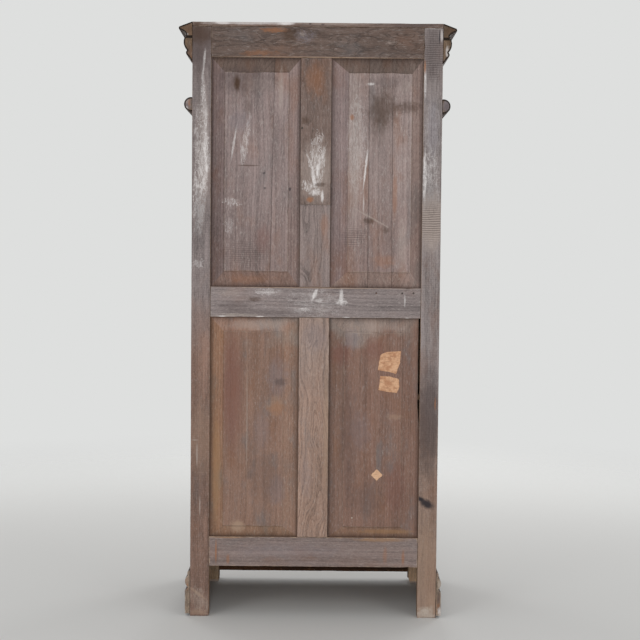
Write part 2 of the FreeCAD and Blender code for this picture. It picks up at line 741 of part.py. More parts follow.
def keyhole(name, round_radius, deep):
    """A round hole with a slot below it, through a stile or a plate."""
    hole = rod(name + "_round", round_radius, "Y", (key_across, deep[0], key_level),
               deep[1] - deep[0])
    half_slot = given.key_bit_thickness / 2 + given.keyhole_slack
    slot = block(name + "_slot", (key_across - half_slot, key_across + half_slot), deep,
                 (key_level - given.key_bit_radius - given.keyhole_slack, key_level))
    return [hole, slot]


for side_name, side in SIDES:
    door = side_name + "_door"
    inside = mirrored(side, meeting_edge + given.stile_meeting_width,
                      door_edge - given.stile_hinge_width)
    tenons = {rail_name: tenon_along("X", inside, front_groove, high)
              for rail_name, high in door_rails.items()}
    grooves = {row: groove_space("X", inside, front_groove, high)
               for row, high in door_rows.items()}
    inner_end, outer_end = (1, 0) if side < 0 else (0, 1)
    sockets = {end: [mortise(pair[end]) for pair in tenons.values()] for end in (0, 1)}
    spaces = sockets[outer_end] + list(grooves.values())
    spaces += [leaf_recess(side, "door", level) for level in hinge_levels]
    across = mirrored(side, door_edge - given.stile_hinge_width, door_edge)
    name = door + "_stile_hinge"
    part(door, name, frame_piece(name, across, door_layer, (door_low, door_high), spaces=spaces))
    spaces = sockets[inner_end] + list(grooves.values())
    across = mirrored(side, meeting_edge, meeting_edge + given.stile_meeting_width)
    name = door + "_stile_meeting"
    stile = frame_piece(name, across, door_layer, (door_low, door_high), spaces=spaces)
    if side > 0:
        hole = keyhole("door_keyhole", key_in_door, grown(door_layer, given.cut_overrun))
        stile = cut(name + "_keyed", stile, hole)
    part(door, name, stile)
    for rail_name, high in door_rails.items():
        name = "%s_%s" % (door, rail_name)
        spaces = [grooves[row] for row in rows_of_rail[rail_name]]
        rail = frame_piece(name, inside, door_layer, high, tenons[rail_name], spaces)
        part(door, name, rail)
    for row, high in door_rows.items():
        name = "%s_panel_%s" % (door, row)
        place = ((inside[0] + inside[1]) / 2, front + tongue_face)
        panel = fielded_panel(name, inside[1] - inside[0], high, even_bevels, place, 180)
        part(door, name, panel)


# Hinges: lift-off halves, the lower one with the pin
def hinge_half(name, side, half, level):
    high = lower_half(level) if half == "post" else upper_half(level)
    place = (pin_across * side, pin_deep)
    barrel = rod(name + "_barrel", given.barrel_radius, "Z", place + (high[0],),
                 given.barrel_height)
    tip = document.addObject("Part::Cone", name + "_finial")
    ends = (given.finial_radius, given.barrel_radius)
    tip_low = high[0] - given.finial_height
    if half == "door":
        ends = (given.barrel_radius, given.finial_radius)
        tip_low = high[1]
    bind(tip, "Radius1", ends[0])
    bind(tip, "Radius2", ends[1])
    bind(tip, "Height", given.finial_height)
    put(tip, *place, tip_low)
    plate = block(name + "_leaf", *leaf(side, half, level))
    if half == "post":
        pin = rod(name + "_pin", given.pin_radius, "Z", place + (high[1] - given.cut_overrun,),
                  given.pin_length + given.cut_overrun)
        return joined(name, [barrel, tip, plate, pin])
    bore = rod(name + "_bore", given.pin_radius + given.pin_clearance, "Z",
               place + (high[0] - given.cut_overrun,),
               given.cut_overrun + given.pin_length + given.barrel_clearance)
    return cut(name, joined(name + "_solid", [barrel, tip, plate]), [bore])


post_halves = []
for side_name, side in SIDES:
    door_halves = []
    for i, level in enumerate(hinge_levels, 1):
        post_halves.append(hinge_half("hinge_%s_post_%d" % (side_name, i), side, "post", level))
        door_halves.append(hinge_half("hinge_%s_door_%d" % (side_name, i), side, "door", level))
    upper_halves = group("upper_halves_" + side_name, door_halves)
    part(side_name + "_door", "hinge_halves_%s_door" % side_name, upper_halves, len(door_halves))
part("carcass", "hinge_halves_posts", group("lower_halves", post_halves), len(post_halves))


# Lock: a sheet case on the right door's inner face, with its bolt, key and escutcheon
case_across = (meeting_edge + given.lock_setback,
               meeting_edge + given.lock_setback + given.lock_width)
case_deep = (door_rear, door_rear + given.lock_depth)
case_high = (key_level - given.lock_drop, key_level - given.lock_drop + given.lock_height)
wall = given.lock_wall
bolt_low = key_level + given.key_bit_radius - given.key_bit_overlap
bolt_high = (bolt_low, bolt_low + given.bolt_height)
bolt_across = (case_across[0], case_across[0] + given.bolt_length)
case_hollow = block("case_hollow", grown(case_across, -wall),
                    (case_deep[0] - given.cut_overrun, case_deep[1] - wall),
                    grown(case_high, -wall))
bolt_way = block("case_bolt_way", grown((case_across[0], case_across[0] + wall), wall),
                 grown(bolt_layer, given.bolt_clearance), grown(bolt_high, given.bolt_clearance))
key_seat = rod("case_key_seat", given.key_shank_radius + given.key_clearance, "Y",
               (key_across, case_deep[0], key_level), given.lock_depth + given.cut_overrun)
case_stock = block("case_stock", case_across, case_deep, case_high)
part("right_door", "lock_case", cut("case", case_stock, [case_hollow, bolt_way, key_seat]))

bodies["lock_bolt"] = {}
notch_middle = key_across + given.bolt_throw
bolt_notch = block("bolt_notch",
                   (notch_middle - given.bolt_notch_near, notch_middle + given.bolt_notch_far),
                   grown(bolt_layer, given.cut_overrun),
                   (bolt_low - given.cut_overrun,
                    bolt_low + given.key_bit_overlap + given.bolt_clearance))
bolt_bar = block("bolt_bar", bolt_across, bolt_layer, bolt_high)
part("lock_bolt", "lock_bolt", cut("bolt", bolt_bar, [bolt_notch]))

bodies["key"] = {}
escutcheon_face = front - given.escutcheon_thickness
bow_middle = front - given.key_stand
shank_start = bow_middle + given.key_bow_radius
shank = rod("key_shank", given.key_shank_radius, "Y", (key_across, shank_start, key_level),
            case_deep[1] - shank_start)
collar_end = escutcheon_face - given.key_collar_gap
collar_start = collar_end - given.key_collar_length
collar = rod("key_collar", given.key_collar_radius, "Y", (key_across, collar_start, key_level),
             given.key_collar_length)
half_bit = given.key_bit_thickness / 2
bit = block("key_bit", (key_across - half_bit, key_across + half_bit), bolt_layer,
            (key_level - given.key_bit_radius, key_level))
ring = document.addObject("Part::Torus", "key_bow")
bind(ring, "Radius1", given.key_bow_radius)
bind(ring, "Radius2", given.key_bow_wire)
put(ring, key_across, bow_middle, key_level)
ring.Placement = FreeCAD.Placement(ring.Placement.Base,
                                   FreeCAD.Rotation(FreeCAD.Vector(0, 1, 0), 90))
part("key", "key", joined("key_iron", [shank, collar, bit, ring]))

plate_centres = given.escutcheon_radius - given.escutcheon_width / 2
plate_deep = (escutcheon_face, front)
discs = [rod("escutcheon_disc_" + side_name, given.escutcheon_radius, "Y",
             (key_across + plate_centres * side, escutcheon_face, key_level),
             given.escutcheon_thickness) for side_name, side in SIDES]
pointed_oval = document.addObject("Part::MultiCommon", "escutcheon_plate")
pointed_oval.Shapes = discs
plate_hole = keyhole("plate_keyhole", given.key_shank_radius + given.key_clearance,
                     grown(plate_deep, given.cut_overrun))
part("right_door", "escutcheon", cut("escutcheon_cut", pointed_oval, plate_hole))


# Slide bolt: a bar in two keeps at the top of the left door's inner face
slide_across = -(meeting_edge + given.stile_meeting_width / 2)
plate_top = door_high - given.slide_plate_drop
plate_high = (plate_top - given.slide_plate_height, plate_top)
half_plate = given.slide_plate_width / 2
slide_face = door_rear + given.slide_plate_thickness
slide_plate = block("slide_plate", (slide_across - half_plate, slide_across + half_plate),
                    (door_rear, slide_face), plate_high)
bar_front = slide_face + given.slide_clearance
bar_layer = (bar_front, bar_front + given.slide_bar_thickness)
half_bar = given.slide_bar_width / 2
bar_across = (slide_across - half_bar, slide_across + half_bar)
bar_top = door_high - given.slide_bar_drop
bar_high = (bar_top - given.slide_bar_length, bar_top)
keep_wall = given.slide_keep_wall + given.slide_clearance
keeps = [block("slide_keep_%d" % i, grown(bar_across, keep_wall),
               (door_rear, bar_layer[1] + keep_wall), high)
         for i, high in enumerate(((plate_high[0], plate_high[0] + given.slide_keep_height),
                                   (plate_high[1] - given.slide_keep_height, plate_high[1])), 1)]
bar_space = block("slide_space", grown(bar_across, given.slide_clearance),
                  grown(bar_layer, given.slide_clearance), grown(plate_high, given.cut_overrun))
slide_mount = cut("slide_mount", joined("slide_stock", [slide_plate] + keeps), [bar_space])
part("left_door", "slide_bolt_plate", slide_mount)

bodies["slide_bolt"] = {}
bar = block("slide_bar", bar_across, bar_layer, bar_high)
knob = rod("slide_knob", given.slide_knob_radius, "Y",
           (slide_across, bar_layer[0], bar_top - given.slide_knob_drop),
           given.slide_bar_thickness + given.slide_knob_length)
part("slide_bolt", "slide_bolt", joined("slide_bar_and_knob", [bar, knob]))


# Everything is worked out and tested before anything is written
document.recompute()
for thing in document.Objects:
    if "Invalid" in thing.State or "Error" in thing.State:
        raise RuntimeError("%s failed: %s" % (thing.Name, thing.State))
os.makedirs("parts", exist_ok=True)
finished = {name: entry for body in bodies.values() for name, entry in body.items()}
for name, (piece, solids) in finished.items():
    shape = piece.Shape
    if shape.isNull() or not shape.isValid() or len(shape.Solids) != solids:
        raise RuntimeError("%s is not %d sound solids" % (name, solids))
for name, (piece, solids) in finished.items():
    piece.Shape.exportStep("parts/%s.step" % name)

print("%d sub-parts, bolt travel per radian of key %.4f mm"
      % (len(finished), given.bolt_throw.value / pi))
print("hinge pins at x %.2f, y %.2f; key at x %.2f, z %.2f"
      % (pin_across.value, pin_deep.value, key_across.value, key_level.value))
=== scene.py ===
import json
import random
from math import radians

import bmesh
import bpy
import numpy as np
from mathutils import Matrix, Vector, noise

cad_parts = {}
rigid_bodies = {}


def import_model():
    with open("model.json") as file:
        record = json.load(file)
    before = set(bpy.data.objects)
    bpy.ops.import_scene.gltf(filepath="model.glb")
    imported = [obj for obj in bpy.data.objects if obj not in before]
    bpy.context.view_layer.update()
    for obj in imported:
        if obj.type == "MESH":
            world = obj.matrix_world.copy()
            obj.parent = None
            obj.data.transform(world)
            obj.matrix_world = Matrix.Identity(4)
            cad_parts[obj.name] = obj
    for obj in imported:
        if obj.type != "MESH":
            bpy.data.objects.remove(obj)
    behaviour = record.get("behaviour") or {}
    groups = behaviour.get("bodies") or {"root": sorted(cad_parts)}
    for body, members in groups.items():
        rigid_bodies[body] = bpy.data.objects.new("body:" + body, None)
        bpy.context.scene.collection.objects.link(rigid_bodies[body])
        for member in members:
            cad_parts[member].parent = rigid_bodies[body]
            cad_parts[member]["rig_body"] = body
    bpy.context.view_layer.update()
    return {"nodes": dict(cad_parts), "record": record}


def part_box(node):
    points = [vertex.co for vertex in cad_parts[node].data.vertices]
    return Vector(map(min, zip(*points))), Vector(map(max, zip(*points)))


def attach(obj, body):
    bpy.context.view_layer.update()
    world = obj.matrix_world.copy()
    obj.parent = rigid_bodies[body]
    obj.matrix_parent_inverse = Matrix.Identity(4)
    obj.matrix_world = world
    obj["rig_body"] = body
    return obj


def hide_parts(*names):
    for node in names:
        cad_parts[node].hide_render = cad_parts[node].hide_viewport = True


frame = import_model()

# A tall oak cupboard seen from behind: raw oak at the back, waxed oak on the sides and the
# front. Metres, Z up, doors towards -Y. Every wooden piece is a copy of its solid with worn
# arrises, and the iron keeps its solids.


# The studio: a plain pale floor that fades into a pale room. The camera stands 4.4 m behind
# the back with a lamp beside it, and the front is lit in the same way.
scene = bpy.context.scene
scene.view_settings.view_transform = "Standard"


def stood(name, data):
    """A new object at the origin of the scene."""
    thing = bpy.data.objects.new(name, data)
    scene.collection.objects.link(thing)
    return thing


lens = bpy.data.cameras.new("camera")
lens.lens, lens.sensor_width = 70.84, 36
camera = stood("camera", lens)
camera.matrix_world = (Matrix.Translation((-0.0162, 4.6915, 1.2564)) @ Matrix.Rotation(radians(180), 4, "Z")
                       @ Matrix.Rotation(radians(90 - 2.657), 4, "X") @ Matrix.Rotation(radians(0.53), 4, "Z"))
scene.camera = camera

for name, place, size, watts in (
        ("lamp_back", (0.1, 4.9, 1.3), 0.8, 52), ("lamp_back_left", (2.4, 3.2, 2.1), 1.4, 20),
        ("lamp_back_right", (-2.4, 3.2, 1.9), 1.4, 14), ("lamp_front", (-0.3, -4.9, 1.7), 0.9, 46),
        ("lamp_front_left", (-2.6, -3, 2.2), 1.4, 30), ("lamp_front_right", (2.6, -3, 1.9), 1.4, 22)):
    lamp = bpy.data.lights.new(name, "AREA")
    lamp.shape, lamp.size, lamp.energy = "SQUARE", size, watts
    aim = (Vector((0, 0, 1.05)) - Vector(place)).to_track_quat("-Z", "Y")
    stood(name, lamp).matrix_world = Matrix.Translation(place) @ aim.to_matrix().to_4x4()


def add(tree, kind, feeds=None, **settings):
    """A node with its settings; feeds gives each input a value or the socket that feeds it.
    kind may leave out the ShaderNode of a shader node's name."""
    node = tree.nodes.new(kind if "Node" in kind else "ShaderNode" + kind)
    for name, value in settings.items():
        setattr(node, name, value)
    for socket, value in (feeds or {}).items():
        if isinstance(value, bpy.types.NodeSocket):
            tree.links.new(value, node.inputs[socket])
        else:
            node.inputs[socket].default_value = value
    return node


def home(*values):
    """The node tree of the first socket among these values."""
    return next(v.id_data for v in values if isinstance(v, bpy.types.NodeSocket))


def maths(work, *values, clamp=False):
    return add(home(*values), "Math", dict(enumerate(values)), operation=work, use_clamp=clamp).outputs[0]


def vectors(work, *values):
    """The same for vectors. SCALE takes a vector and a number."""
    feeds = {0: values[0], "Scale": values[1]} if work == "SCALE" else dict(enumerate(values))
    node = add(home(*values), "VectorMath", feeds, operation=work)
    return node.outputs["Value" if work == "LENGTH" else 0]


def ramped(value, low, high, to_low=0, to_high=1):
    """Smoothly from one value to the other as the input passes from low to high."""
    return add(home(value), "MapRange", {0: value, 1: low, 2: high, 3: to_low, 4: to_high},
               interpolation_type="SMOOTHSTEP").outputs[0]


def rgb(red, green, blue):
    """A colour given as on a paint chart, 0 to 255, in the linear values that nodes take."""
    line = [v / 255 for v in (red, green, blue)]
    return tuple(v / 12.92 if v <= 0.04045 else ((v + 0.055) / 1.055) ** 2.4 for v in line) + (1,)


def blank(owner):
    """The emptied node tree of a new material or world."""
    owner.use_nodes = True
    owner.node_tree.nodes.clear()
    return owner.node_tree


def shaped(bm, name, materials):
    """Ends a mesh's making: an object of that name with these materials."""
    mesh = bpy.data.meshes.new(name)
    bm.to_mesh(mesh)
    bm.free()
    for material in materials:
        mesh.materials.append(material)
    return stood(name, mesh)


room = scene.world = bpy.data.worlds.new("room")
tree = blank(room)
rays = add(tree, "LightPath").outputs
seen = maths("MAXIMUM", rays["Is Camera Ray"],
             maths("MAXIMUM", rays["Is Glossy Ray"], rays["Is Transmission Ray"]))
plain = add(tree, "Background", {0: (1, 1, 1, 1), 1: 0.52}).outputs[0]
wall = add(tree, "Background", {0: rgb(222, 223, 222), 1: 1}).outputs[0]
both = add(tree, "MixShader", {0: seen, 1: plain, 2: wall}).outputs[0]
add(tree, "OutputWorld", {0: both})

floor_paint = bpy.data.materials.new("floor_paint")
tree = blank(floor_paint)
from_middle = vectors("LENGTH", add(tree, "TexCoord").outputs["Object"])
paint = add(tree, "BsdfPrincipled", {
    "Base Color": rgb(214, 214, 212), "Roughness": 0.9, "Alpha": ramped(from_middle, 1.6, 4.6, 1, 0)})
add(tree, "OutputMaterial", {0: paint.outputs[0]})
bm = bmesh.new()
bmesh.ops.create_circle(bm, cap_ends=True, segments=96, radius=5)
floor = shaped(bm, "floor", [floor_paint])


# Rear posts: two upright oak posts that run from the floor to the top board and are the outer
# edges of the back. Sawn rough and left raw behind, where lime and water have streaked them,
# stained and waxed on the outer side, and mortised for the rails of the back and the sides.
BACK, LEFT, RIGHT, FRONT = (0, 1, 0), (-1, 0, 0), (1, 0, 0), (0, -1, 0)
OUTER, REAR, FORE = 0.43, 0.28, 0.24    # the cabinet's outer faces lie beyond these
FLANK = 0.4352      # beyond this distance from the middle there are only mouldings
FIELD = 0.289       # the raised fields of the back's panels lie behind this
SLOTS = {row["node"]: row["material_slot"] for row in frame["record"]["subparts"]}


def cut(bm, at, facing, faces=None):
    """Cuts a mesh, or only some of its faces, along the plane through at."""
    if faces is None:
        geom = bm.verts[:] + bm.edges[:] + bm.faces[:]
    else:
        geom = faces + list({e for f in faces for e in f.edges}) + list({v for f in faces for v in f.verts})
    bmesh.ops.bisect_plane(bm, geom=geom, dist=1e-6, plane_co=at, plane_no=facing)


def sliced(bm, axis, places):
    """Cuts a mesh square to an axis, so that there is something to dent."""
    facing = Vector([int(i == axis) for i in range(3)])
    for place in places:
        cut(bm, facing * place, facing)


def nearness(points, lines, reach):
    """1 on the lines, falling to 0 at reach away from them, for every point."""
    near = np.full(len(points), 1e9)
    for a, b in lines:
        run = b - a
        along = np.clip((points - a) @ run / (run @ run), 0, 1)
        near = np.minimum(near, np.linalg.norm(points - a - along[:, None] * run, axis=1))
    return np.clip(1 - near / reach, 0, 1)


def beside(joint, x, z):
    """How far a place lies beyond the joint of two planks, which may lean."""
    (foot, low), (head, high) = joint
    return x - foot - (head - foot) * (z - low) / (high - low)


def noted(mesh, name, kind, domain, values):
    """Writes values on a mesh for its material or for nodes to read."""
    what, number = {"FLOAT_VECTOR": ("vector", np.float32), "FLOAT": ("value", np.float32),
                    "BOOLEAN": ("value", bool)}[kind]
    mesh.attributes.new(name, kind, domain).data.foreach_set(what, np.asarray(values, number).ravel())


def oak_piece(node, axes, skins, heart=None, cells=(0.014, 0.014, 0.014), arris=0.0012, wear=1, shape=None,
              planks=(), mitre=None, sight=None, bevels=(), tones=(), ends=None):
    """A wooden piece: a copy of its solid with eased, dented arrises. axes says which way it
    runs across, through and along its grain. skins are a first material and then rows of
    (material, direction, place) for the faces that look that way beyond that place. heart
    is where the log's heart lies, across and through, from the piece's middle. bevels are
    the painted light and shade of a panel's low, high, foot and head bevels, as shares of its
    field's colour, and tones how much darker its planks are. ends says where a moulding's sawn ends lie."""
    dice = random.Random(node)
    solid = frame["nodes"][node]
    low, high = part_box(node)
    bm = bmesh.new()
    bm.from_mesh(solid.data)
    bmesh.ops.remove_doubles(bm, verts=bm.verts[:], dist=1e-5)
    if mitre:
        bmesh.ops.delete(bm, context="FACES", geom=[
            f for f in bm.faces if all(abs(abs(v.co.x) + v.co.y - mitre) < 1e-4 for v in f.verts)
            and abs(sum(v.co.x > 0 for v in f.verts) - 1.5) > 1])
    bmesh.ops.dissolve_limit(bm, angle_limit=radians(1), verts=bm.verts[:], edges=bm.edges[:])
    sharp = [e for e in bm.edges if e.is_manifold and e.calc_face_angle_signed(0) > radians(40)
             and e.calc_length() > 0.015]
    lines = [[np.array(v.co) for v in e.verts] for e in sharp]
    if ends:
        # at the sawn ends only the rim of the moulding itself wears, not the line at the post
        rims = [e for e in bm.edges if min(v.co.y for v in e.verts) > ends
                and (min(abs(v.co.x) for v in e.verts) > FLANK
                     or abs(abs(e.verts[0].co.x) - abs(e.verts[1].co.x)) > 0.002)]
        lines = [(a, b) for a, b in lines if max(abs(a[0]), abs(b[0])) > FLANK or max(a[1], b[1]) < ends]
        lines += [[np.array(v.co) for v in e.verts] for e in rims]
    bmesh.ops.bevel(bm, geom=sharp, offset=arris, offset_type="OFFSET", segments=2, profile=0.6, affect="EDGES",
                    clamp_overlap=False)

    # cuts, so that there is something to dent: close to the edges and in cells
    for axis in range(3):
        count = max(1, round((high[axis] - low[axis]) / cells[axis]))
        step = (high[axis] - low[axis]) / count
        sliced(bm, axis, [low[axis] + 0.004, high[axis] - 0.004]
               + [low[axis] + step * (i + 0.5) for i in range(count) if count > 1])
    if ends:
        step = 0.003
        for axis in (0, 2):
            facing = Vector((axis == 0, 0, axis == 2))
            for place in np.arange(low[axis] + step, high[axis], step):
                if axis == 2 or abs(place) > FLANK + 0.0003:
                    cut(bm, facing * place, facing,
                        [f for f in bm.faces if f.normal.y > 0.5 and f.calc_center_median().y > ends])
    if bevels:
        for axis in (0, 2):
            sliced(bm, axis, {round(a[axis] + slip, 5) for a, b in lines for slip in (-0.005, 0.005)
                              if a[1] > FIELD and abs(a[axis] - b[axis]) < 1e-4})
    for (foot, start), (head, stop) in planks:
        for slip in (-0.0014, 0, 0.0014):
            cut(bm, (foot + slip, 0, start), (stop - start, 0, foot - head))
    if mitre:
        for side in (-1, 1):
            for slip in (-0.0012, 0, 0.0012):
                cut(bm, (side * (mitre + slip), 0, 0), (side, 1, 0))

    # each face's material, and on a panel which bevel it belongs to
    zones = bm.faces.layers.int.new("zone")
    for f in bm.faces:
        f.smooth = True
        middle = f.calc_center_median()
        if bevels:
            lean, rise = f.normal["XYZ".index(axes[0])], f.normal.z
            if max(abs(lean), abs(rise)) > 0.05:
                f[zones] = (2 if lean > 0 else 1) if abs(lean) > abs(rise) else (4 if rise > 0 else 3)
        for i, (_, way, beyond) in enumerate(skins[1:], 1):
            if f.normal.dot(Vector(way)) > 0.5 and middle.dot(Vector(way)) > beyond:
                f.material_index = i

    # wear: the faces sink a little, the arrises more and in chips, the joints most
    bm.normal_update()
    bm.verts.ensure_lookup_table()
    sunk, rounded, chipped, open_joint, open_mitre, reach = 0.00025, 0.0004, 0.0026, 0.0016, 0.0009, 0.006
    edge = nearness(np.array([v.co for v in bm.verts]), lines, reach)
    jitter = Vector((dice.random(), dice.random(), dice.random())) * 50
    for v, closeness in zip(bm.verts, edge):
        swell = sunk * (1 + noise.noise(v.co * 5 + jitter))
        chip = max(0, noise.noise(v.co * 27 + jitter) + 0.45 * noise.noise(v.co * 90 + jitter) + 0.1)
        v.co -= v.normal * wear * (swell + closeness * (rounded + chipped * chip * chip))
    if shape:
        shape(bm)
    for v in bm.verts if planks or mitre else ():
        for joint in planks:
            if abs(beside(joint, v.co.x, v.co.z)) < 0.0003 and abs(v.normal.y) > 0.8:
                v.co -= v.normal * open_joint
        if mitre and abs(abs(v.co.x) + v.co.y - mitre) < 0.0004:
            v.co -= v.normal * open_mitre
    piece = shaped(bm, node + "_oak", [skins[0]] + [row[0] for row in skins[1:]])
    mesh = piece.data
    mesh.set_sharp_from_angle(angle=radians(38))

    # the place of each corner in its log, turned where a length turns at its mitre
    order = ["XYZ".index(c) for c in axes]
    if heart is None:
        heart = (dice.uniform(-0.09, 0.09), dice.choice((-1, 1)) * dice.uniform(0.06, 0.12))
    spots = np.array([v.co for v in mesh.vertices])
    corner = np.empty(len(mesh.loops), np.int32)
    mesh.loops.foreach_get("vertex_index", corner)
    centre = np.array([f.center for f in mesh.polygons])
    plank = np.zeros(len(centre), int)
    for joint in planks:
        plank += beside(joint, centre[:, 0], centre[:, 2]) > 0
    turned = np.zeros(len(centre), bool)
    if mitre:
        turned = np.abs(centre[:, 0]) + centre[:, 1] > mitre
        plank[turned] = np.where(centre[turned, 0] > 0, 1, 2)
    sides = [f.loop_total for f in mesh.polygons]
    plank, turned = np.repeat(plank, sides), np.repeat(turned, sides)
    from_middle = spots[corner] - np.array((low + high) / 2)
    grain = from_middle[:, order]
    grain[turned] = from_middle[turned][:, order[::-1]]
    grain += np.stack((0.11 * plank - heart[0], 0 * plank - heart[1], 3.7 * plank + jitter.x), axis=1)
    noted(mesh, "grain", "FLOAT_VECTOR", "CORNER", grain)
    noted(mesh, "arris", "FLOAT", "POINT", edge)
    tones = np.array([*tones, *[dice.uniform(-0.09, 0.09) for _ in range(8)]])[plank]
    noted(mesh, "tone", "FLOAT", "CORNER", tones)
    if planks:
        across = np.array([beside(joint, spots[:, 0], spots[:, 2]) for joint in planks])
        noted(mesh, "joint", "FLOAT", "POINT", np.clip(1 - np.abs(across).min(axis=0) / 0.0013, 0, 1))
    if sight:
        # painted shade and grime where a panel meets its frame, and at the foot of its bevels
        side = 0 if high[0] - low[0] > 0.1 else 1
        gap = np.minimum.reduce([spots[:, side] - sight[0], sight[1] - spots[:, side],
                                 spots[:, 2] - sight[2], sight[3] - spots[:, 2]])
        rim_shade_and_grime = np.clip(1 - gap / 0.03, 0, 1)
        if bevels:
            foot = nearness(spots, [(a, b) for a, b in lines if min(a[1], b[1]) > FIELD], 0.009)
            rim_shade_and_grime = np.maximum(rim_shade_and_grime, np.where(spots[:, 1] < FIELD - 0.0003, 0.85 * foot, 0))
        noted(mesh, "rim_shade_and_grime", "FLOAT", "POINT", rim_shade_and_grime)
    # each bevel's painted light and shade, by the way it faces
    if bevels:
        zone = np.empty(len(centre), np.int32)
        mesh.attributes["zone"].data.foreach_get("value", zone)
        noted(mesh, "bevel", "FLOAT_VECTOR", "FACE", np.array(((1, 1, 1), *bevels), np.float32)[zone] - 1)
    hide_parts(node)
    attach(piece, solid["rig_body"])


def effect(name, takes, gives):
    """A shader node group for more than one material. takes names its inputs, vectors and
    numbers, with their defaults, and gives names the numbers that it puts out."""
    tree = bpy.data.node_groups.new(name, "ShaderNodeTree")
    for label, value in takes.items():
        kind = "NodeSocketVector" if isinstance(value, tuple) else "NodeSocketFloat"
        tree.interface.new_socket(label, in_out="INPUT", socket_type=kind).default_value = value
    for label in gives:
        tree.interface.new_socket(label, in_out="OUTPUT", socket_type="NodeSocketFloat")
    return tree, tree.nodes.new("NodeGroupInput").outputs, tree.nodes.new("NodeGroupOutput").inputs


def times(value, factor):
    return maths("MULTIPLY", value, factor)


def tinted(share, under, over, blend="MIX"):
    return add(home(share, under, over), "Mix", {0: share, 6: under, 7: over}, data_type="RGBA",
               blend_type=blend).outputs[2]


def noisy(place, scale, detail, rough=0.5, out="Fac"):
    """Noise over a place. scale is a number, or three to stretch the place by."""
    if isinstance(scale, tuple):
        place, scale = vectors("MULTIPLY", place, scale), 1
    return add(home(place), "TexNoise", {
        "Vector": place, "Scale": scale, "Detail": detail, "Roughness": rough}).outputs[out]


def weighed(total, *terms):
    """A total to which each term is added: a value and its weight."""
    for value, weight in terms:
        total = maths("MULTIPLY_ADD", value, weight, total)
    return total


def centred(value):
    return maths("SUBTRACT", value, 0.5)


# Growth rings round the log's heart, with the porous early wood dark, the long fibres, the
# short dark pores and slow clouds of colour
figure, takes, gives = effect("oak figure", {"Grain": (0, 0, 0), "Ring": 0.0042, "Wander": 0.02, "Curl": 6},
                              ("Rings", "Fibre", "Pores", "Cloud", "Bands", "Mottle"))
grain = takes["Grain"]
stretched = vectors("MULTIPLY", grain, (1, 1, 0.33))
swing = vectors("SUBTRACT", noisy(stretched, takes["Curl"], 2, out="Color"), (0.5, 0.5, 0.5))
bent = vectors("ADD", grain, vectors("SCALE", swing, takes["Wander"]))
out = vectors("LENGTH", vectors("MULTIPLY", bent, (1, 1, 0)))
out = weighed(out, (noisy(vectors("MULTIPLY", grain, (1, 1, 0.08)), 55, 3), 0.0035))
uneven = add(figure, "TexNoise", {"W": times(out, 70), "Detail": 1}, noise_dimensions="1D").outputs["Fac"]
out = weighed(out, (uneven, 0.011))
rings = add(figure, "ValToRGB", {0: maths("FRACT", maths("DIVIDE", out, takes["Ring"]))})
for place, value in ((0.3, 0.45), (0.55, 0.1), (0.88, 0)):
    rings.color_ramp.elements.new(place).color = (value,) * 3 + (1,)
rings.color_ramp.elements[0].color = rings.color_ramp.elements[-1].color = (1, 1, 1, 1)
strands = vectors("MULTIPLY", grain, (1, 1, 0.03))
fine, broad = noisy(strands, 330, 4, 0.7), noisy(strands, 70, 3)
fibre = maths("ADD", times(fine, 0.5), times(broad, 0.5))
specks = ramped(noisy(strands, 1300, 1), 0.56, 0.64)
pores = maths("MULTIPLY", specks, maths("ADD", rings.outputs[0], 0.25), clamp=True)
for label, value in (("Rings", rings.outputs[0]), ("Fibre", fibre), ("Pores", pores),
                     ("Cloud", noisy(stretched, 9, 4, 0.6)), ("Bands", noisy(grain, (42, 42, 1.6), 3)),
                     ("Mottle", noisy(grain, (290, 290, 130), 4, 0.65))):
    figure.links.new(value, gives[label])

# A stain, splash or scuff round one place of the back: a ragged spot, or one broken into
# streaks along the grain where Streaks is 1
mark, takes, gives = effect("mark", {
    "Place": (0, 0, 0), "Grain": (0, 0, 0), "At": (0, 0, 0), "Half size": (1, 1, 1), "Ragged": 0.5, "Streaks": 0,
    "Lean": 0, "Strength": 1}, ["Mask"])
place, grain = takes["Place"], takes["Grain"]
x, y, z = add(mark, "SeparateXYZ", {0: vectors("SUBTRACT", place, takes["At"])}).outputs
x = maths("SUBTRACT", x, times(z, takes["Lean"]))
upright = add(mark, "CombineXYZ", {0: x, 1: y, 2: z}).outputs[0]
shared = vectors("DIVIDE", upright, takes["Half size"])
ragged = vectors("MULTIPLY_ADD", shared, (1.7, 0, 1.7), vectors("MULTIPLY", place, (30, 30, 22)))
ragged = vectors("SUBTRACT", noisy(ragged, 1, 5, 0.6, out="Color"), (0.5, 0.5, 0.5))
ragged = vectors("SCALE", ragged, times(takes["Ragged"], 2.4))
spot = ramped(vectors("LENGTH", vectors("ADD", shared, ragged)), 0.3, 1.05, 1, 0)
threads = ramped(noisy(grain, (260, 260, 60), 4, 0.7), 0.42, 0.62)
gaps = times(centred(noisy(grain, (80, 80, 20), 5, 0.7)), 2.4)
cover = times(ramped(weighed(gaps, (spot, 0.55)), 0.05, 0.7), ramped(spot, 0, 0.3))
dry = times(cover, maths("MULTIPLY_ADD", threads, 0.7, 0.12))
vein = maths("ABSOLUTE", centred(noisy(place, (75, 75, 34), 4, 0.6)))
veins = times(ramped(vein, 0.022, 0.004), ramped(spot, 0.05, 0.5))
dry = maths("MAXIMUM", dry, times(veins, 0.85))
mask = add(mark, "Mix", {0: takes["Streaks"], 2: spot, 3: dry}).outputs[0]
mark.links.new(times(mask, takes["Strength"]), gives[0])

# What comes off the arrises first: a broken line of bare wood along the edges
scuffed, takes, gives = effect("scuffed arrises", {"Arris": 0, "Place": (0, 0, 0), "Amount": 0.5}, ["Mask"])
rubbed = maths("SUBTRACT", noisy(takes["Place"], 38, 5, 0.65), 0.62)
rubbed = ramped(weighed(takes["Arris"], (rubbed, 2.2)), 0.25, 0.9)
scuffed.links.new(times(rubbed, takes["Amount"]), gives[0])

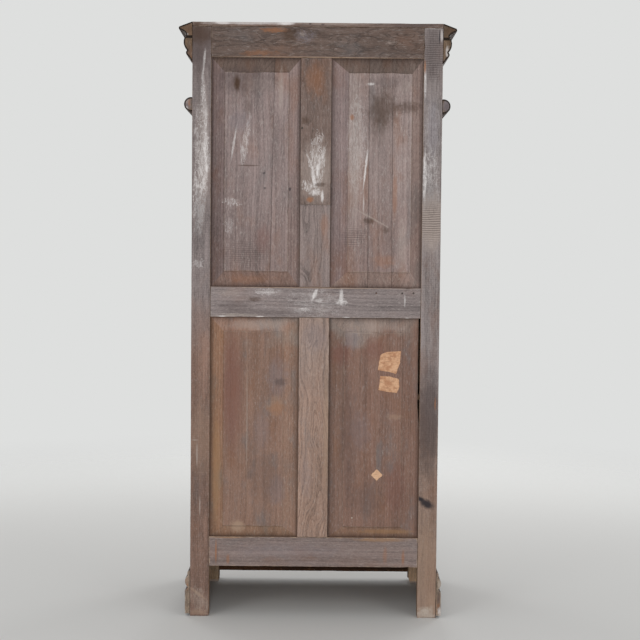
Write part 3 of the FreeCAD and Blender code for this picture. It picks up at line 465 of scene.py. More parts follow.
# Lines that the mill's saw left across a rough board
sawn, takes, gives = effect("saw lines", {"Grain": (0, 0, 0), "Step": 0.0078}, ["Lines"])
along = weighed(add(sawn, "SeparateXYZ", {0: takes["Grain"]}).outputs[2],
                (noisy(takes["Grain"], 12, 2), 0.016))
lines = times(maths("DIVIDE", along, takes["Step"]), 6.2832)
sawn.links.new(maths("MULTIPLY_ADD", maths("SINE", lines), 0.5, 0.5), gives[0])

PAINTS = {"lime": rgb(226, 221, 219), "saw": rgb(66, 56, 54), "pale": rgb(172, 158, 150),
          "dust": rgb(190, 178, 166), "brown": rgb(72, 52, 38), "soot": rgb(44, 41, 46), "dark": rgb(84, 72, 70),
          "orange": rgb(156, 104, 68), "yellow": rgb(158, 122, 88), "red": rgb(120, 80, 72),
          "tan": rgb(166, 140, 120), "slate": rgb(128, 122, 128), "rubbed": rgb(146, 106, 74),
          "handled": rgb(46, 29, 20), "bleached": rgb(128, 96, 74)}


def stained(colour, marks, place, grain, lines=None):
    """Adds marks, each (paint, x, z, half width, half height) in millimetres and (strength,
    raggedness, streaks, lean) in percent. lines are where a saw mark shows."""
    for paint, x, z, wide, high, strength, ragged, streaks, *lean in marks:
        spot = add(home(place), "Group", {
            "At": (x / 1000, 0, z / 1000), "Half size": (wide / 1000, 1000, high / 1000), "Ragged": ragged / 100,
            "Streaks": streaks / 100, "Strength": strength / 100, "Lean": sum(lean) / 100, "Place": place,
            "Grain": grain}, node_tree=mark).outputs[0]
        if paint == "saw":
            spot = times(spot, ramped(lines, 0.3, 0.7))
        colour = tinted(spot, colour, PAINTS[paint])
    return colour


def reading(tree, name, kind="Fac"):
    """What a piece's mesh has noted under this name."""
    return add(tree, "Attribute", attribute_name=name).outputs[kind]


def oak_start(name, ring, wander, curl):
    """A new material, its tree, each spot's place and grain, and the oak's figure there."""
    material = bpy.data.materials.new(name)
    tree = blank(material)
    place = add(tree, "TexCoord").outputs["Object"]
    grain = reading(tree, "grain", "Vector")
    oak = add(tree, "Group", {"Ring": ring, "Wander": wander, "Curl": curl, "Grain": grain},
              node_tree=figure)
    return material, tree, place, grain, oak.outputs


def lit_by(colour, light):
    """A colour times a brightness."""
    grey = add(home(light), "CombineColor", dict.fromkeys(range(3), light)).outputs[0]
    return tinted(1, colour, grey, "MULTIPLY")


def worn_edges(colour, place, bare, amount):
    tree = home(colour)
    share = add(tree, "Group", {"Amount": amount, "Arris": reading(tree, "arris"), "Place": place},
                node_tree=scuffed).outputs[0]
    return tinted(share, colour, bare)


def coated(colour, rough, relief, strength, depth, others):
    """Ends a material: its surface, with relief as bumps of that strength and depth."""
    tree = home(colour)
    bumps = add(tree, "Bump", {"Strength": strength, "Distance": depth, "Height": relief})
    skin = add(tree, "BsdfPrincipled", {
        "Base Color": colour, "Roughness": rough, "Normal": bumps.outputs[0], **others})
    add(tree, "OutputMaterial", {0: skin.outputs[0]})


def bare_oak(name, upper, lower=None, turn=(0.95, 1.35), contrast=1, rings=0.6, ring=0.0042, wander=0.02, saw=0,
             marks=(), warmth=0.35, edge=(rgb(170, 152, 138), 0.4), chalk=0.3, curl=6,
             joints=(rgb(56, 44, 40), 0.6), rind=0):
    """Old raw oak. upper and lower are its colours above and below the heights in turn."""
    material, tree, place, grain, oak = oak_start(name, ring, wander, curl)
    height = add(tree, "SeparateXYZ", {0: place}).outputs[2]
    height = weighed(height, (centred(noisy(place, 5, 3)), 0.5))
    colour = tinted(ramped(height, *turn), rgb(*(lower or upper)), rgb(*upper))
    # the wood's own figure, darker in the early wood and the pores
    shade = weighed(times(oak["Rings"], 0.3 * rings), *(
        (centred(oak[label]), weight) for label, weight in (
            ("Fibre", 0.95), ("Mottle", 0.95), ("Bands", 0.8), ("Cloud", 0.75))), (oak["Pores"], 0.3))
    shade = times(maths("SUBTRACT", shade, 0.03 + 0.09 * rings), contrast)
    colour = lit_by(colour, maths("SUBTRACT", 1, shade))
    # warm and grey patches of old oxide and dust
    patches = noisy(grain, (11, 11, 4.5), 5, 0.6)
    dusty = noisy(grain, (210, 210, 55), 6, 0.75)
    for cloud, low, high, share, paint in ((patches, 0.5, 0.72, warmth, (134, 96, 74)),
                                           (patches, 0.47, 0.3, warmth, (112, 108, 108)),
                                           (dusty, 0.5, 0.72, chalk, (186, 177, 172))):
        colour = tinted(times(ramped(cloud, low, high), share), colour, rgb(*paint))
    # painted light and shade on a panel's bevels, by the way each faces, and the tints of its planks
    share = vectors("ADD", reading(tree, "bevel", "Vector"), (1, 1, 1))
    share = vectors("SCALE", share, maths("SUBTRACT", 1, reading(tree, "tone")))
    colour = tinted(1, colour, share, "MULTIPLY")
    # saw marks, stains, worn edges, the dark rind of a stained edge, joints, and painted shade and grime where a
    # panel meets its frame
    lines = add(tree, "Group", {"Grain": grain}, node_tree=sawn).outputs[0]
    if saw:
        here = times(lines, ramped(oak["Cloud"], 0.38, 0.58, 0.35, 1))
        colour = tinted(times(here, 0.4 * saw), colour, rgb(70, 60, 58))
    colour = stained(colour, marks, place, grain, lines)
    colour = worn_edges(colour, place, *edge)
    if rind:
        colour = tinted(times(ramped(reading(tree, "arris"), 0, 0.3), rind), colour, rgb(32, 24, 18))
    colour = tinted(times(reading(tree, "joint"), joints[1]), colour, joints[0])
    colour = tinted(times(maths("POWER", reading(tree, "rim_shade_and_grime"), 3), 0.65), colour, rgb(52, 40, 36))
    relief = maths("ADD", times(oak["Fibre"], 0.6), times(dusty, 0.5))
    relief = weighed(relief, (oak["Pores"], -0.3), (oak["Rings"], -0.12), (lines, -0.12 - 0.3 * saw))
    coated(colour, weighed(0.93, (oak["Fibre"], -0.14)), relief, 0.5, 0.0016, {"Specular IOR Level": 0.25})
    return material


def waxed_oak(name, colour, worn_to, gloss=0.42, sheen=0.22, marks=()):
    """Stained and waxed oak, rubbed paler along its arrises, with painted shade and grime in its corners."""
    material, tree, place, grain, oak = oak_start(name, 0.0046, 0.024, 6)
    shade = weighed(times(oak["Rings"], 0.42), (centred(oak["Fibre"]), 1.3),
                    (centred(oak["Cloud"]), 0.8), (oak["Pores"], 0.5), (reading(tree, "tone"), 1.5))
    base = lit_by(rgb(*colour), maths("SUBTRACT", 1.12, shade))
    base = tinted(times(ramped(oak["Cloud"], 0.42, 0.66), 0.3), base, rgb(104, 58, 34))
    base = worn_edges(stained(base, marks, place, grain), place, rgb(*worn_to), 0.75)
    # painted shade and grime where a panel meets its frame
    base = tinted(times(maths("POWER", reading(tree, "rim_shade_and_grime"), 2.5), 0.75), base, rgb(34, 22, 15))
    relief = weighed(times(oak["Fibre"], 0.35), (oak["Pores"], -0.5), (oak["Rings"], -0.15))
    rough = weighed(gloss, (centred(noisy(place, 14, 5)), 0.3), (oak["Pores"], 0.25))
    coated(base, rough, relief, 0.35, 0.0012, {"Specular IOR Level": sheen})
    return material


inner_oak = bare_oak("oak_inside", (142, 116, 94), (138, 109, 86), warmth=0.45, contrast=1.05)
front_oak = waxed_oak("oak_waxed", (92, 60, 40), (136, 98, 66), marks=[
    ("handled", 0, 1150, 40, 300, 55, 50, 10), ("rubbed", 52, 1060, 45, 110, 50, 60, 70),
    ("handled", 35, 1030, 12, 50, 50, 60, 20), ("bleached", -190, 660, 140, 260, 40, 60, 40),
    ("bleached", 200, 1450, 120, 180, 30, 60, 40), ("rubbed", 300, 460, 100, 30, 50, 90, 100),
    ("rubbed", -340, 330, 100, 50, 45, 90, 100), ("handled", 0, 225, 600, 75, 35, 60, 20),
    ("rubbed", 430, 420, 50, 160, 50, 90, 100), ("rubbed", -430, 950, 50, 220, 40, 90, 100),
    ("handled", 100, 1730, 500, 35, 40, 70, 20), ("rubbed", -120, 1100, 100, 20, 40, 90, 100)])
rear_left_oak = bare_oak(
    "oak_rear_post_left", (142, 132, 130), (140, 118, 106), turn=(0.55, 1), saw=0.3, ring=0.008, marks=[
    ("dark", -400, 700, 60, 260, 70, 35, 0), ("dark", -398, 1985, 80, 150, 45, 40, 20),
    ("saw", -402, 1970, 45, 110, 45, 20, 0), ("lime", -373.5, 1880, 6, 70, 95, 20, 70),
    ("lime", -400, 1700, 34, 160, 35, 30, 100), ("slate", -402, 1720, 30, 140, 50, 50, 20),
    ("lime", -396, 1530, 40, 140, 50, 30, 100), ("lime", -376.5, 1545, 7, 130, 95, 30, 70),
    ("pale", -402, 1394, 60, 120, 95, 20, 0), ("saw", -402, 1394, 70, 85, 55, 10, 0),
    ("soot", -398, 1470, 30, 80, 35, 40, 100), ("orange", -372, 1933, 5, 30, 70, 40, 0),
    ("orange", -423, 761, 4, 30, 50, 40, 0), ("tan", -398, 160, 60, 280, 60, 30, 40),
    ("soot", -421, 2035, 2, 36, 100, 10, 0), ("lime", -429, 2040, 6, 26, 60, 30, 30),
    ("lime", -402, 2065.5, 40, 2.5, 60, 30, 0), ("soot", -376, 424, 15, 14, 95, 25, 0, 70),
    ("soot", -398, 407, 28, 24, 95, 30, 0, 50), ("tan", -420, 50, 30, 50, 50, 50, 30),
    ("dust", -398, 16, 45, 32, 100, 60, 40)])
rear_right_oak = bare_oak(
    "oak_rear_post_right", (134, 123, 121), (130, 104, 92), turn=(0.75, 1.25), saw=0.3, ring=0.008, marks=[
    ("dark", 410, 2010, 85, 150, 80, 40, 10), ("brown", 405, 2045, 80, 50, 60, 40, 0),
    ("pale", 395, 1620, 30, 340, 35, 30, 30), ("lime", 393.5, 1945, 5.5, 60, 70, 40, 60, -10),
    ("lime", 395, 1830, 10, 100, 75, 30, 90, 4), ("lime", 388, 1630, 12, 160, 95, 30, 80),
    ("lime", 400, 1640, 34, 220, 65, 30, 100), ("lime", 410, 1470, 28, 160, 80, 30, 100),
    ("soot", 402, 1380, 36, 160, 45, 40, 100), ("lime", 412, 1245, 28, 20, 60, 90, 100),
    ("tan", 400, 630, 60, 170, 28, 30, 10), ("pale", 412, 573, 2.5, 55, 95, 15, 0),
    ("pale", 401, 392, 2.5, 45, 85, 15, 0), ("pale", 419, 626, 15, 2.2, 75, 10, 0),
    ("tan", 410, 84, 11, 30, 60, 40, 30, 127), ("dust", 404, 60, 45, 70, 40, 50, 90, 40),
    ("tan", 404, 14, 40, 14, 60, 40, 40)])
for side, way, skin, heart in (("left", LEFT, rear_left_oak, (0.05, 0.16)),
                               ("right", RIGHT, rear_right_oak, (-0.02, 0.11))):
    oak_piece("post_rear_" + side, "XYZ", [inner_oak, (front_oak, way, OUTER), (skin, BACK, REAR)],
              heart=heart, arris=0.0018, wear=1.3)


# Rails of the back: three oak rails, tenoned into the rear posts and flush with them. The top
# one is cut from a curly piece; the middle one is splashed with lime.
top_rail_oak = bare_oak(
    "oak_back_rail_top", (97, 82, 75), ring=0.0105, rings=1.7, wander=0.09, curl=13, contrast=0.95, marks=[
    ("orange", 149, 2056, 60, 12, 65, 80, 20), ("orange", 205, 1976, 75, 14, 45, 80, 20),
    ("brown", 97, 2040, 34, 34, 60, 40, 0), ("slate", 45, 2035, 45, 30, 75, 60, 90),
    ("pale", 52, 2042, 14, 12, 60, 60, 60), ("pale", -256, 2018, 26, 12, 70, 50, 100),
    ("soot", -215.4, 1962.5, 4, 3.5, 90, 20, 0), ("tan", 20, 1963.5, 360, 2.4, 75, 30, 0)])
middle_rail_oak = bare_oak(
    "oak_back_rail_middle", (136, 125, 123), contrast=1.1, ring=0.012, wander=0.04, warmth=0.2, chalk=0.5, marks=[
    ("dark", 282, 1095, 80, 26, 50, 40, 30), ("lime", 0, 1110, 130, 60, 30, 40, 100),
    ("dust", 270, 1068, 100, 7, 60, 70, 80), ("lime", 4, 1140, 9, 28, 95, 50, 45, -35),
    ("lime", -12, 1120, 16, 10, 60, 50, 100), ("lime", -90, 1138, 9, 32, 95, 50, 45),
    ("lime", -89, 1116, 26, 16, 100, 60, 60), ("tan", 0, 1164, 370, 2, 80, 40, 0),
    ("lime", 165, 1150, 50, 14, 70, 80, 90), ("dark", 200, 1075, 160, 14, 35, 50, 30),
    ("lime", 37, 1088, 26, 8, 70, 50, 70), ("lime", -312, 1121, 4, 28, 50, 30, 30),
    ("brown", 215, 1123, 28, 11, 55, 50, 0), ("pale", 300, 1145, 60, 18, 40, 50, 60),
    ("lime", 327, 1062.5, 18, 2.8, 90, 30, 0), ("lime", 194, 1062, 18, 2.8, 90, 30, 0),
    ("lime", -107, 1061.5, 18, 2.6, 90, 30, 0), ("lime", -320, 1061, 8, 2.4, 90, 30, 0)])
bottom_rail_oak = bare_oak(
    "oak_back_rail_bottom", (134, 118, 113), contrast=0.9, edge=(rgb(190, 164, 140), 0.8), marks=[
    ("slate", 100, 236, 250, 35, 35, 50, 50), ("yellow", -235, 277.5, 120, 9, 70, 40, 30),
    ("orange", 343.5, 232, 3.5, 55, 75, 10, 0), ("dark", 339, 232, 1.3, 60, 60, 10, 0),
    ("orange", 301, 205, 8, 24, 45, 40, 0), ("orange", -317, 215, 7, 35, 50, 40, 0),
    ("orange", -253, 222, 11, 40, 35, 40, 0), ("yellow", 300, 281.5, 80, 3.5, 60, 30, 0)])
for row, skin, heart in (("top", top_rail_oak, (0, 0.06)), ("middle", middle_rail_oak, (0.2, 0.1)),
                         ("bottom", bottom_rail_oak, (0.1, 0.13))):
    oak_piece("back_rail_" + row, "ZYX", [inner_oak, (skin, BACK, REAR)], heart=heart)


# Muntins and the patch: the two uprights between the panels. The upper one is thinner, and a
# board was let in over its upper part, which is the piece with the most lime on it; the lower
# one is paler and shows the arches of flat-sawn oak.
upper_muntin_oak = bare_oak(
    "oak_back_muntin_upper", (134, 120, 116), ring=0.009, rings=1, wander=0.05, curl=10, warmth=0.4, marks=[
    ("orange", -30, 1387, 20, 50, 30, 40, 0)])
patch_oak = bare_oak(
    "oak_back_muntin_patch", (114, 97, 90), warmth=0.4, ring=0.008, curl=12, wander=0.05, rings=0.8, marks=[
    ("orange", 9, 1890, 42, 80, 30, 50, 0), ("brown", 43, 1745, 18, 18, 50, 40, 0),
    ("pale", 0, 1560, 80, 150, 60, 30, 30), ("lime", -3, 1605, 31, 130, 80, 70, 100),
    ("lime", -3, 1575, 8, 35, 100, 60, 40), ("lime", 22, 1600, 6, 50, 70, 90, 70, 35),
    ("lime", 10, 1545, 10, 45, 100, 40, 50, 20), ("lime", -18, 1620, 8, 50, 70, 80, 70, -35),
    ("lime", 32, 1520, 26, 25, 90, 50, 100), ("brown", -12, 1524, 30, 10, 75, 60, 30),
    ("lime", 5, 1497, 26, 15, 95, 60, 70), ("lime", -20, 1483, 7, 26, 100, 40, 30),
    ("orange", 22, 1472, 16, 14, 70, 40, 0)])
lower_muntin_oak = bare_oak(
    "oak_back_muntin_lower", (146, 126, 116), (150, 124, 110), turn=(0.6, 1), ring=0.0095, rings=1.1, wander=0.08,
    curl=9, contrast=0.9, marks=[
    ("tan", -41, 669, 14, 320, 50, 20, 20), ("dark", 35, 860, 24, 120, 25, 50, 30),
    ("slate", 0, 990, 60, 70, 30, 40, 20), ("slate", 30, 500, 30, 100, 25, 50, 30)])
for row, skin, behind, heart, wear in (
        ("upper", upper_muntin_oak, 0.27, (0.03, 0.1), 1), ("patch", patch_oak, 0.286, (0.04, 0.09), 1.5),
        ("lower", lower_muntin_oak, REAR, (0, 0.05), 1)):
    oak_piece("back_muntin_" + row, "XYZ", [inner_oak, (skin, BACK, behind)], heart=heart, wear=wear)


# Panels of the back: four raised panels, each glued from two or three boards and planed by
# hand, so that the edge of the field wanders. They sit loose in grooves. The lower left one
# has shrunk away from its post, and scraps of paper are still pasted on it.
def wandering(lines):
    """Shifts the field's border lines: each is (axis, place, low, high, amount, seed)."""
    rear_face, reach, ends = 0.2745, 0.02, 0.04

    def warp(bm):
        for v in bm.verts:
            if v.co.y < rear_face:
                continue
            for axis, place, low, high, amount, seed in lines:
                along = v.co[2 - axis]
                near = 1 - abs(v.co[axis] - place) / reach
                if near > 0 and low < along < high:
                    ease = min(1, (along - low) / ends, (high - along) / ends)
                    shift = noise.noise((along * 14, seed, 0)) + 0.4 * noise.noise((along * 40, seed, 5))
                    v.co[axis] += amount * shift * near * ease
    return warp


def shrunk(bm):
    """The panel's left edge, drawn out of its groove towards the top."""
    inside, start, rise, most = -0.3, 0.6, 0.16, 0.0145
    for v in bm.verts:
        if v.co.x < inside:
            t = min(1, max(0, (v.co.z - start) / rise))
            v.co.x += most * t * t * (3 - 2 * t) * min(1, (inside - v.co.x) / 0.05)


upper = {"warmth": 0.45, "contrast": 0.9, "ring": 0.009, "chalk": 0.5}
lower = {"warmth": 0.6, "contrast": 0.75, "ring": 0.009}
upper_left_oak = bare_oak(
    "oak_back_panel_upper_left", (144, 128, 124), (136, 117, 112), turn=(1.2, 1.5), **upper, marks=[
    ("pale", -132, 1648, 28, 340, 45, 20, 40), ("brown", -230, 1790, 68, 90, 55, 60, 15),
    ("dark", -250, 1880, 80, 30, 40, 60, 30), ("pale", -305, 1865, 28, 35, 35, 50, 50),
    ("brown", -215, 1750, 40, 100, 35, 50, 10), ("brown", -315, 1794, 66, 27, 60, 60, 20),
    ("orange", -121, 1758, 10, 14, 60, 40, 0), ("lime", -170, 1582, 4.5, 100, 100, 60, 50, -11),
    ("lime", -140, 1660, 45, 220, 32, 40, 100), ("lime", -164, 1460, 4, 50, 60, 30, 50),
    ("saw", -130, 1340, 50, 50, 35, 40, 0), ("lime", -185, 1873, 16, 6, 80, 40, 40),
    ("pale", -188, 1412, 10, 44, 80, 50, 50, 182), ("brown", -183, 1399, 28, 15, 60, 50, 0),
    ("brown", -243, 1368, 20, 15, 45, 50, 0), ("orange", -273, 1493, 12, 110, 45, 30, 20),
    ("pale", -300, 1320, 22, 120, 45, 40, 50), ("orange", -240, 1260, 50, 30, 30, 50, 0)])
upper_right_oak = bare_oak(
    "oak_back_panel_upper_right", (140, 124, 121), (133, 116, 112), turn=(1.25, 1.6), **upper, marks=[
    ("dark", 250, 1880, 140, 70, 55, 50, 10), ("brown", 240, 1790, 18, 50, 35, 50, 30),
    ("pale", 193, 1866, 80, 32, 30, 70, 90), ("pale", 127, 1846, 12, 100, 60, 30, 50),
    ("saw", 245, 1280, 100, 60, 28, 30, 0), ("lime", 305, 1380, 22, 40, 40, 60, 100),
    ("lime", 289, 1665, 5, 75, 75, 50, 60, -16), ("lime", 249, 1670, 16, 110, 60, 50, 100, -16),
    ("slate", 270, 1740, 50, 50, 35, 50, 30), ("brown", 278.5, 1872, 14.5, 36, 90, 20, 0),
    ("brown", 239, 1588, 52, 3.5, 60, 20, 0), ("soot", 184, 1562, 6.5, 6.5, 60, 30, 0),
    ("soot", 180, 1510, 6, 6, 60, 30, 0), ("soot", 93, 1507, 6, 9, 70, 30, 0),
    ("lime", 294, 1460, 32, 18, 75, 80, 100, 80), ("red", 185, 1333, 36, 60, 40, 40, 20),
    ("orange", 225, 1193, 100, 22, 30, 50, 30)])
lower_right_oak = bare_oak(
    "oak_back_panel_lower_right", (142, 126, 117), (137, 109, 95), turn=(1, 1.08), **lower,
    joints=(rgb(170, 142, 122), 0.4), marks=[
    ("pale", 215, 1034, 120, 24, 45, 30, 20), ("red", 290, 800, 50, 280, 55, 20, 10),
    ("slate", 130, 850, 50, 90, 35, 50, 10), ("tan", 135, 750, 40, 45, 40, 50, 10),
    ("slate", 185, 660, 40, 90, 25, 50, 10), ("slate", 130, 450, 40, 70, 30, 50, 10),
    ("dark", 122, 833, 30, 18, 50, 50, 0), ("dark", 172, 490, 80, 120, 30, 50, 20),
    ("orange", 129, 740, 45, 30, 35, 50, 0), ("yellow", 345, 520, 20, 240, 65, 25, 20),
    ("pale", 237.2, 700, 3, 240, 60, 10, 30), ("tan", 270, 320, 34, 30, 90, 40, 0)])
lower_left_oak = bare_oak(
    "oak_back_panel_lower_left", (138, 121, 112), (129, 101, 89), turn=(1.01, 1.08), **lower,
    joints=(rgb(160, 134, 116), 0.35), marks=[
    ("pale", -210, 1030, 110, 28, 30, 50, 30), ("pale", -160, 1008, 60, 2.2, 70, 20, 0),
    ("slate", -130, 985, 40, 50, 35, 50, 0), ("red", -87, 930, 50, 50, 45, 50, 0),
    ("red", -210, 950, 50, 50, 35, 50, 0), ("red", -285, 460, 50, 130, 35, 40, 10),
    ("slate", -160, 660, 50, 90, 25, 50, 10), ("dark", -120, 634, 45, 280, 40, 40, 20),
    ("dark", -180, 423, 80, 80, 30, 50, 0), ("tan", -282, 714, 38, 14, 45, 50, 30),
    ("yellow", -252, 306, 130, 12, 60, 40, 20), ("dust", -135, 355, 3.5, 3.5, 90, 10, 0)])
LEFT_BAY, RIGHT_BAY, UPPER_BAY, LOWER_BAY = (-0.368, -0.049), (0.057, 0.368), (1.166, 1.961), (0.285, 1.06)
# bevels: painted light and shade for each panel's low, high, foot and head bevels, as shares of its field's colour
for name, skin, heart, planks, lines, sight, bevels, tones in (
        ("upper_left", upper_left_oak, (0, 0.22),
         [((-0.181, 1.2), (-0.181, 1.95)), ((-0.2656, 1.2), (-0.2611, 1.95))],
         [(2, 1.22, -0.33, -0.1, 0.003, 1), (2, 1.911, -0.33, -0.1, 0.003, 7), (0, -0.0895, 1.2, 1.93, 0.002, 2)],
         LEFT_BAY + UPPER_BAY, ((0.84, 0.78, 0.74), (0.8, 0.78, 0.8), (0.96, 0.93, 0.88), (0.5, 0.47, 0.43)),
         (-0.12, 0.03, -0.06)),
        ("upper_right", upper_right_oak, (0.04, 0.2), [((0.1603, 1.2), (0.148, 1.95))],
         [(2, 1.22, 0.1, 0.33, 0.007, 3), (2, 1.911, 0.1, 0.33, 0.003, 8), (0, 0.3215, 1.2, 1.93, 0.002, 4)],
         RIGHT_BAY + UPPER_BAY, ((0.92, 0.88, 0.86), (0.75, 0.71, 0.71), (0.89, 0.78, 0.7), (0.54, 0.49, 0.43)),
         (-0.06, 0)),
        ("lower_left", lower_left_oak, (0.2, 0.1), [((-0.2197, 0.3), (-0.2158, 1))],
         [(2, 1.01, -0.31, -0.1, 0.006, 5)],
         LEFT_BAY + LOWER_BAY, ((1, 1, 1), (0.96, 1, 1.02), (1, 1, 0.92), (1.08, 1.08, 1.08)), (0, 0)),
        ("lower_right", lower_right_oak, (0.03, 0.18), [((0.2365, 0.3), (0.2373, 1))],
         [(2, 1.01, 0.11, 0.31, 0.008, 6)],
         RIGHT_BAY + LOWER_BAY, ((1.17, 1.18, 1.16), (1.1, 1.02, 0.88), (1.06, 1.03, 0.92), (1.22, 1.22, 1.22)),
         (0, 0.035))):
    warp = wandering(lines)
    oak_piece("back_panel_" + name, "XYZ", [inner_oak, (skin, BACK, 0.27)], heart=heart, planks=planks, sight=sight,
              cells=(0.01, 0.02, 0.012), bevels=bevels, tones=tones,
              shape=(lambda bm, warp=warp: (warp(bm), shrunk(bm))) if name == "lower_left" else warp)


# Scraps of paper: what is left of two pasted labels and a small square set on its corner, on
# the lower left panel. Thin tan paper, torn at the edges, with nothing on it.
paper = bpy.data.materials.new("paper")
tree = blank(paper)
place = add(tree, "TexCoord").outputs["Object"]
crease = noisy(place, (40, 1, 260), 4)
blotch = ramped(noisy(place, 60, 6, 0.7), 0.35, 0.65)
low_down = ramped(add(tree, "SeparateXYZ", {0: place}).outputs[2], 0.6, 0.7, 0.6, 0)
colour = tinted(blotch, rgb(176, 127, 94), rgb(214, 171, 136))
colour = tinted(low_down, colour, rgb(224, 184, 150))
colour = tinted(times(ramped(crease, 0.55, 0.68), 0.45), colour, rgb(120, 84, 66))
coated(colour, 0.85, crease, 0.4, 0.0006, {})

for name, corners in (
        ("paper_scrap_upper", [(-0.2289, 0.9312), (-0.25, 0.942), (-0.3005, 0.9459), (-0.298, 0.905),
                               (-0.284, 0.865), (-0.262, 0.872), (-0.2208, 0.8784)]),
        ("paper_scrap_lower", [(-0.2298, 0.8574), (-0.262, 0.856), (-0.2947, 0.8475), (-0.297, 0.82),
                               (-0.2883, 0.7982), (-0.255, 0.802), (-0.2233, 0.8081)]),
        ("paper_square", [(-0.221, 0.5285), (-0.2415, 0.508), (-0.221, 0.4875), (-0.2005, 0.508)])):
    bm = bmesh.new()
    outline = []
    for (x, z), (next_x, next_z) in zip(corners, corners[1:] + corners[:1]):
        for i in range(8):
            spot = Vector((x, 0, z)).lerp(Vector((next_x, 0, next_z)), i / 8)
            tear = 0.0011 * noise.noise(spot * 260) + 0.0009 * noise.noise(spot * 90)
            outline.append(bm.verts.new((spot.x + tear, 0.29005, spot.z + tear)))
    face = bm.faces.new(outline)
    bm.normal_update()
    if face.normal.y < 0:
        face.normal_flip()
    for v in bmesh.ops.extrude_face_region(bm, geom=[face])["geom"]:
        if isinstance(v, bmesh.types.BMVert):
            v.co.y += 0.0004
    bmesh.ops.recalc_face_normals(bm, faces=bm.faces[:])
    scrap = shaped(bm, name, [paper])
    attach(scrap, "carcass")


# Front posts: the two posts that carry the doors, heavier than the rear ones, waxed where they
# show. Their feet stand behind the skirt's brackets; one has lost its inner lower corner.
def foot_chipped(bm):
    inner, height = -0.387, 0.02
    for v in bm.verts:
        if v.co.x > inner and v.co.z < height:
            v.co.x = inner + (v.co.x - inner) * (1 - 0.5 * (1 - v.co.z / height))


# The backs of the front feet, seen under the back, are painted pale as painted light where the lamps leave them in
# shadow, and paler still along their foot.
painted_light_foot_oak = bare_oak("oak_front_feet_painted_light", (216, 184, 152), marks=[
    ("pale", 400, 4, 50, 6, 80, 40, 0), ("pale", -400, 4, 50, 6, 80, 40, 0)])
for side, way, shape in (("left", LEFT, foot_chipped), ("right", RIGHT, None)):
    oak_piece("post_front_" + side, "XYZ", [inner_oak, (front_oak, way, OUTER), (front_oak, FRONT, FORE),
                                            (painted_light_foot_oak, BACK, -0.2)], arris=0.0018, shape=shape)


# Sides: on each side three rails between the posts and two raised panels in grooves, waxed
# outside and raw inside.
for side, way in (("left", LEFT), ("right", RIGHT)):
    for row in ("top", "middle", "bottom"):
        oak_piece("side_rail_%s_%s" % (row, side), "ZXY", [inner_oak, (front_oak, way, OUTER)])
    for row, bay in (("upper", (1.166, 1.763)), ("lower", LOWER_BAY)):
        oak_piece("side_panel_%s_%s" % (row, side), "YXZ", [inner_oak, (front_oak, way, 0.42)],
                  sight=(-0.192, 0.2515, *bay), cells=(0.02, 0.014, 0.014))


# Front rails, top and inside boards: the frieze over the doors and the rail under them, the
# thin top board whose raw edge shows behind, the bottom board, two shelves and their bars.
for name in ("front_rail_frieze", "front_rail_bottom"):
    oak_piece(name, "ZYX", [inner_oak, (front_oak, FRONT, FORE)])
top_edge_oak = bare_oak("oak_top_board_edge", (112, 95, 87), marks=[
    ("lime", 240, 2078.5, 200, 6.5, 65, 50, 20), ("lime", 112, 2078.5, 40, 7.5, 95, 30, 10),
    ("lime", 330, 2078.5, 30, 6, 75, 40, 20), ("pale", -40, 2078.5, 160, 6, 55, 50, 30),
    ("brown", 415, 2076, 20, 12, 50, 40, 0), ("dark", -17, 2076, 8, 4, 80, 40, 0),
    ("dark", 27, 2078, 6, 4, 90, 40, 0), ("dark", -320, 2075, 150, 12, 65, 50, 20)])
oak_piece("top_board", "YZX", [inner_oak, (top_edge_oak, BACK, REAR)], cells=(0.016, 0.03, 0.016), wear=1.8)
for name in ("bottom_board", "shelf_lower", "shelf_upper"):
    oak_piece(name, "YZX", [inner_oak], cells=(0.02, 0.02, 0.02))
oak_piece("shelf_cleats", "ZXY", [inner_oak], cells=(0.03, 0.03, 0.03))


# Mouldings: the crown, the cushion under it and the half-round band, each in three lengths
# mitred at the front corners and nailed on; their sawn ends show pale at the back. The skirt
# with its bracket feet goes round the foot in the same way.
moulding_oak = waxed_oak("oak_moulding", (62, 42, 30), (108, 76, 52), gloss=0.55, sheen=0.1, marks=[
    ("rubbed", -150, 152, 300, 12, 50, 90, 100), ("rubbed", 300, 45, 200, 50, 35, 90, 100),
    ("bleached", 200, 1800, 160, 20, 40, 80, 90), ("bleached", -280, 2000, 200, 30, 35, 80, 90),
    ("rubbed", -420, 70, 50, 70, 50, 90, 100), ("dust", 0, 2062, 600, 7, 30, 80, 90)])
end_oak = bare_oak(
    "oak_sawn_ends", (112, 92, 74), (132, 112, 96), turn=(0.5, 1.9), warmth=0.4, contrast=1.2,
    edge=(rgb(60, 46, 36), 0.3), rind=0.95, marks=[
    ("brown", 460, 2055, 35, 35, 55, 40, 20), ("brown", -460, 2055, 35, 35, 50, 40, 20),
    ("lime", -448.5, 1986, 8, 26, 70, 40, 30), ("dust", -445.5, 1950, 9, 12, 70, 40, 20),
    ("slate", -450, 1800, 20, 35, 80, 30, 0), ("dark", -449, 1795, 14, 25, 50, 50, 20),
    ("slate", 452, 1800, 20, 30, 60, 30, 0), ("orange", 445, 1803, 6, 16, 60, 50, 20),
    ("lime", 455, 1785, 8, 8, 80, 50, 30), ("pale", 455, 1810, 12, 14, 60, 50, 30),
    ("lime", 453, 2038, 5, 5, 70, 50, 0), ("dark", 448, 1985, 12, 35, 45, 40, 20)])
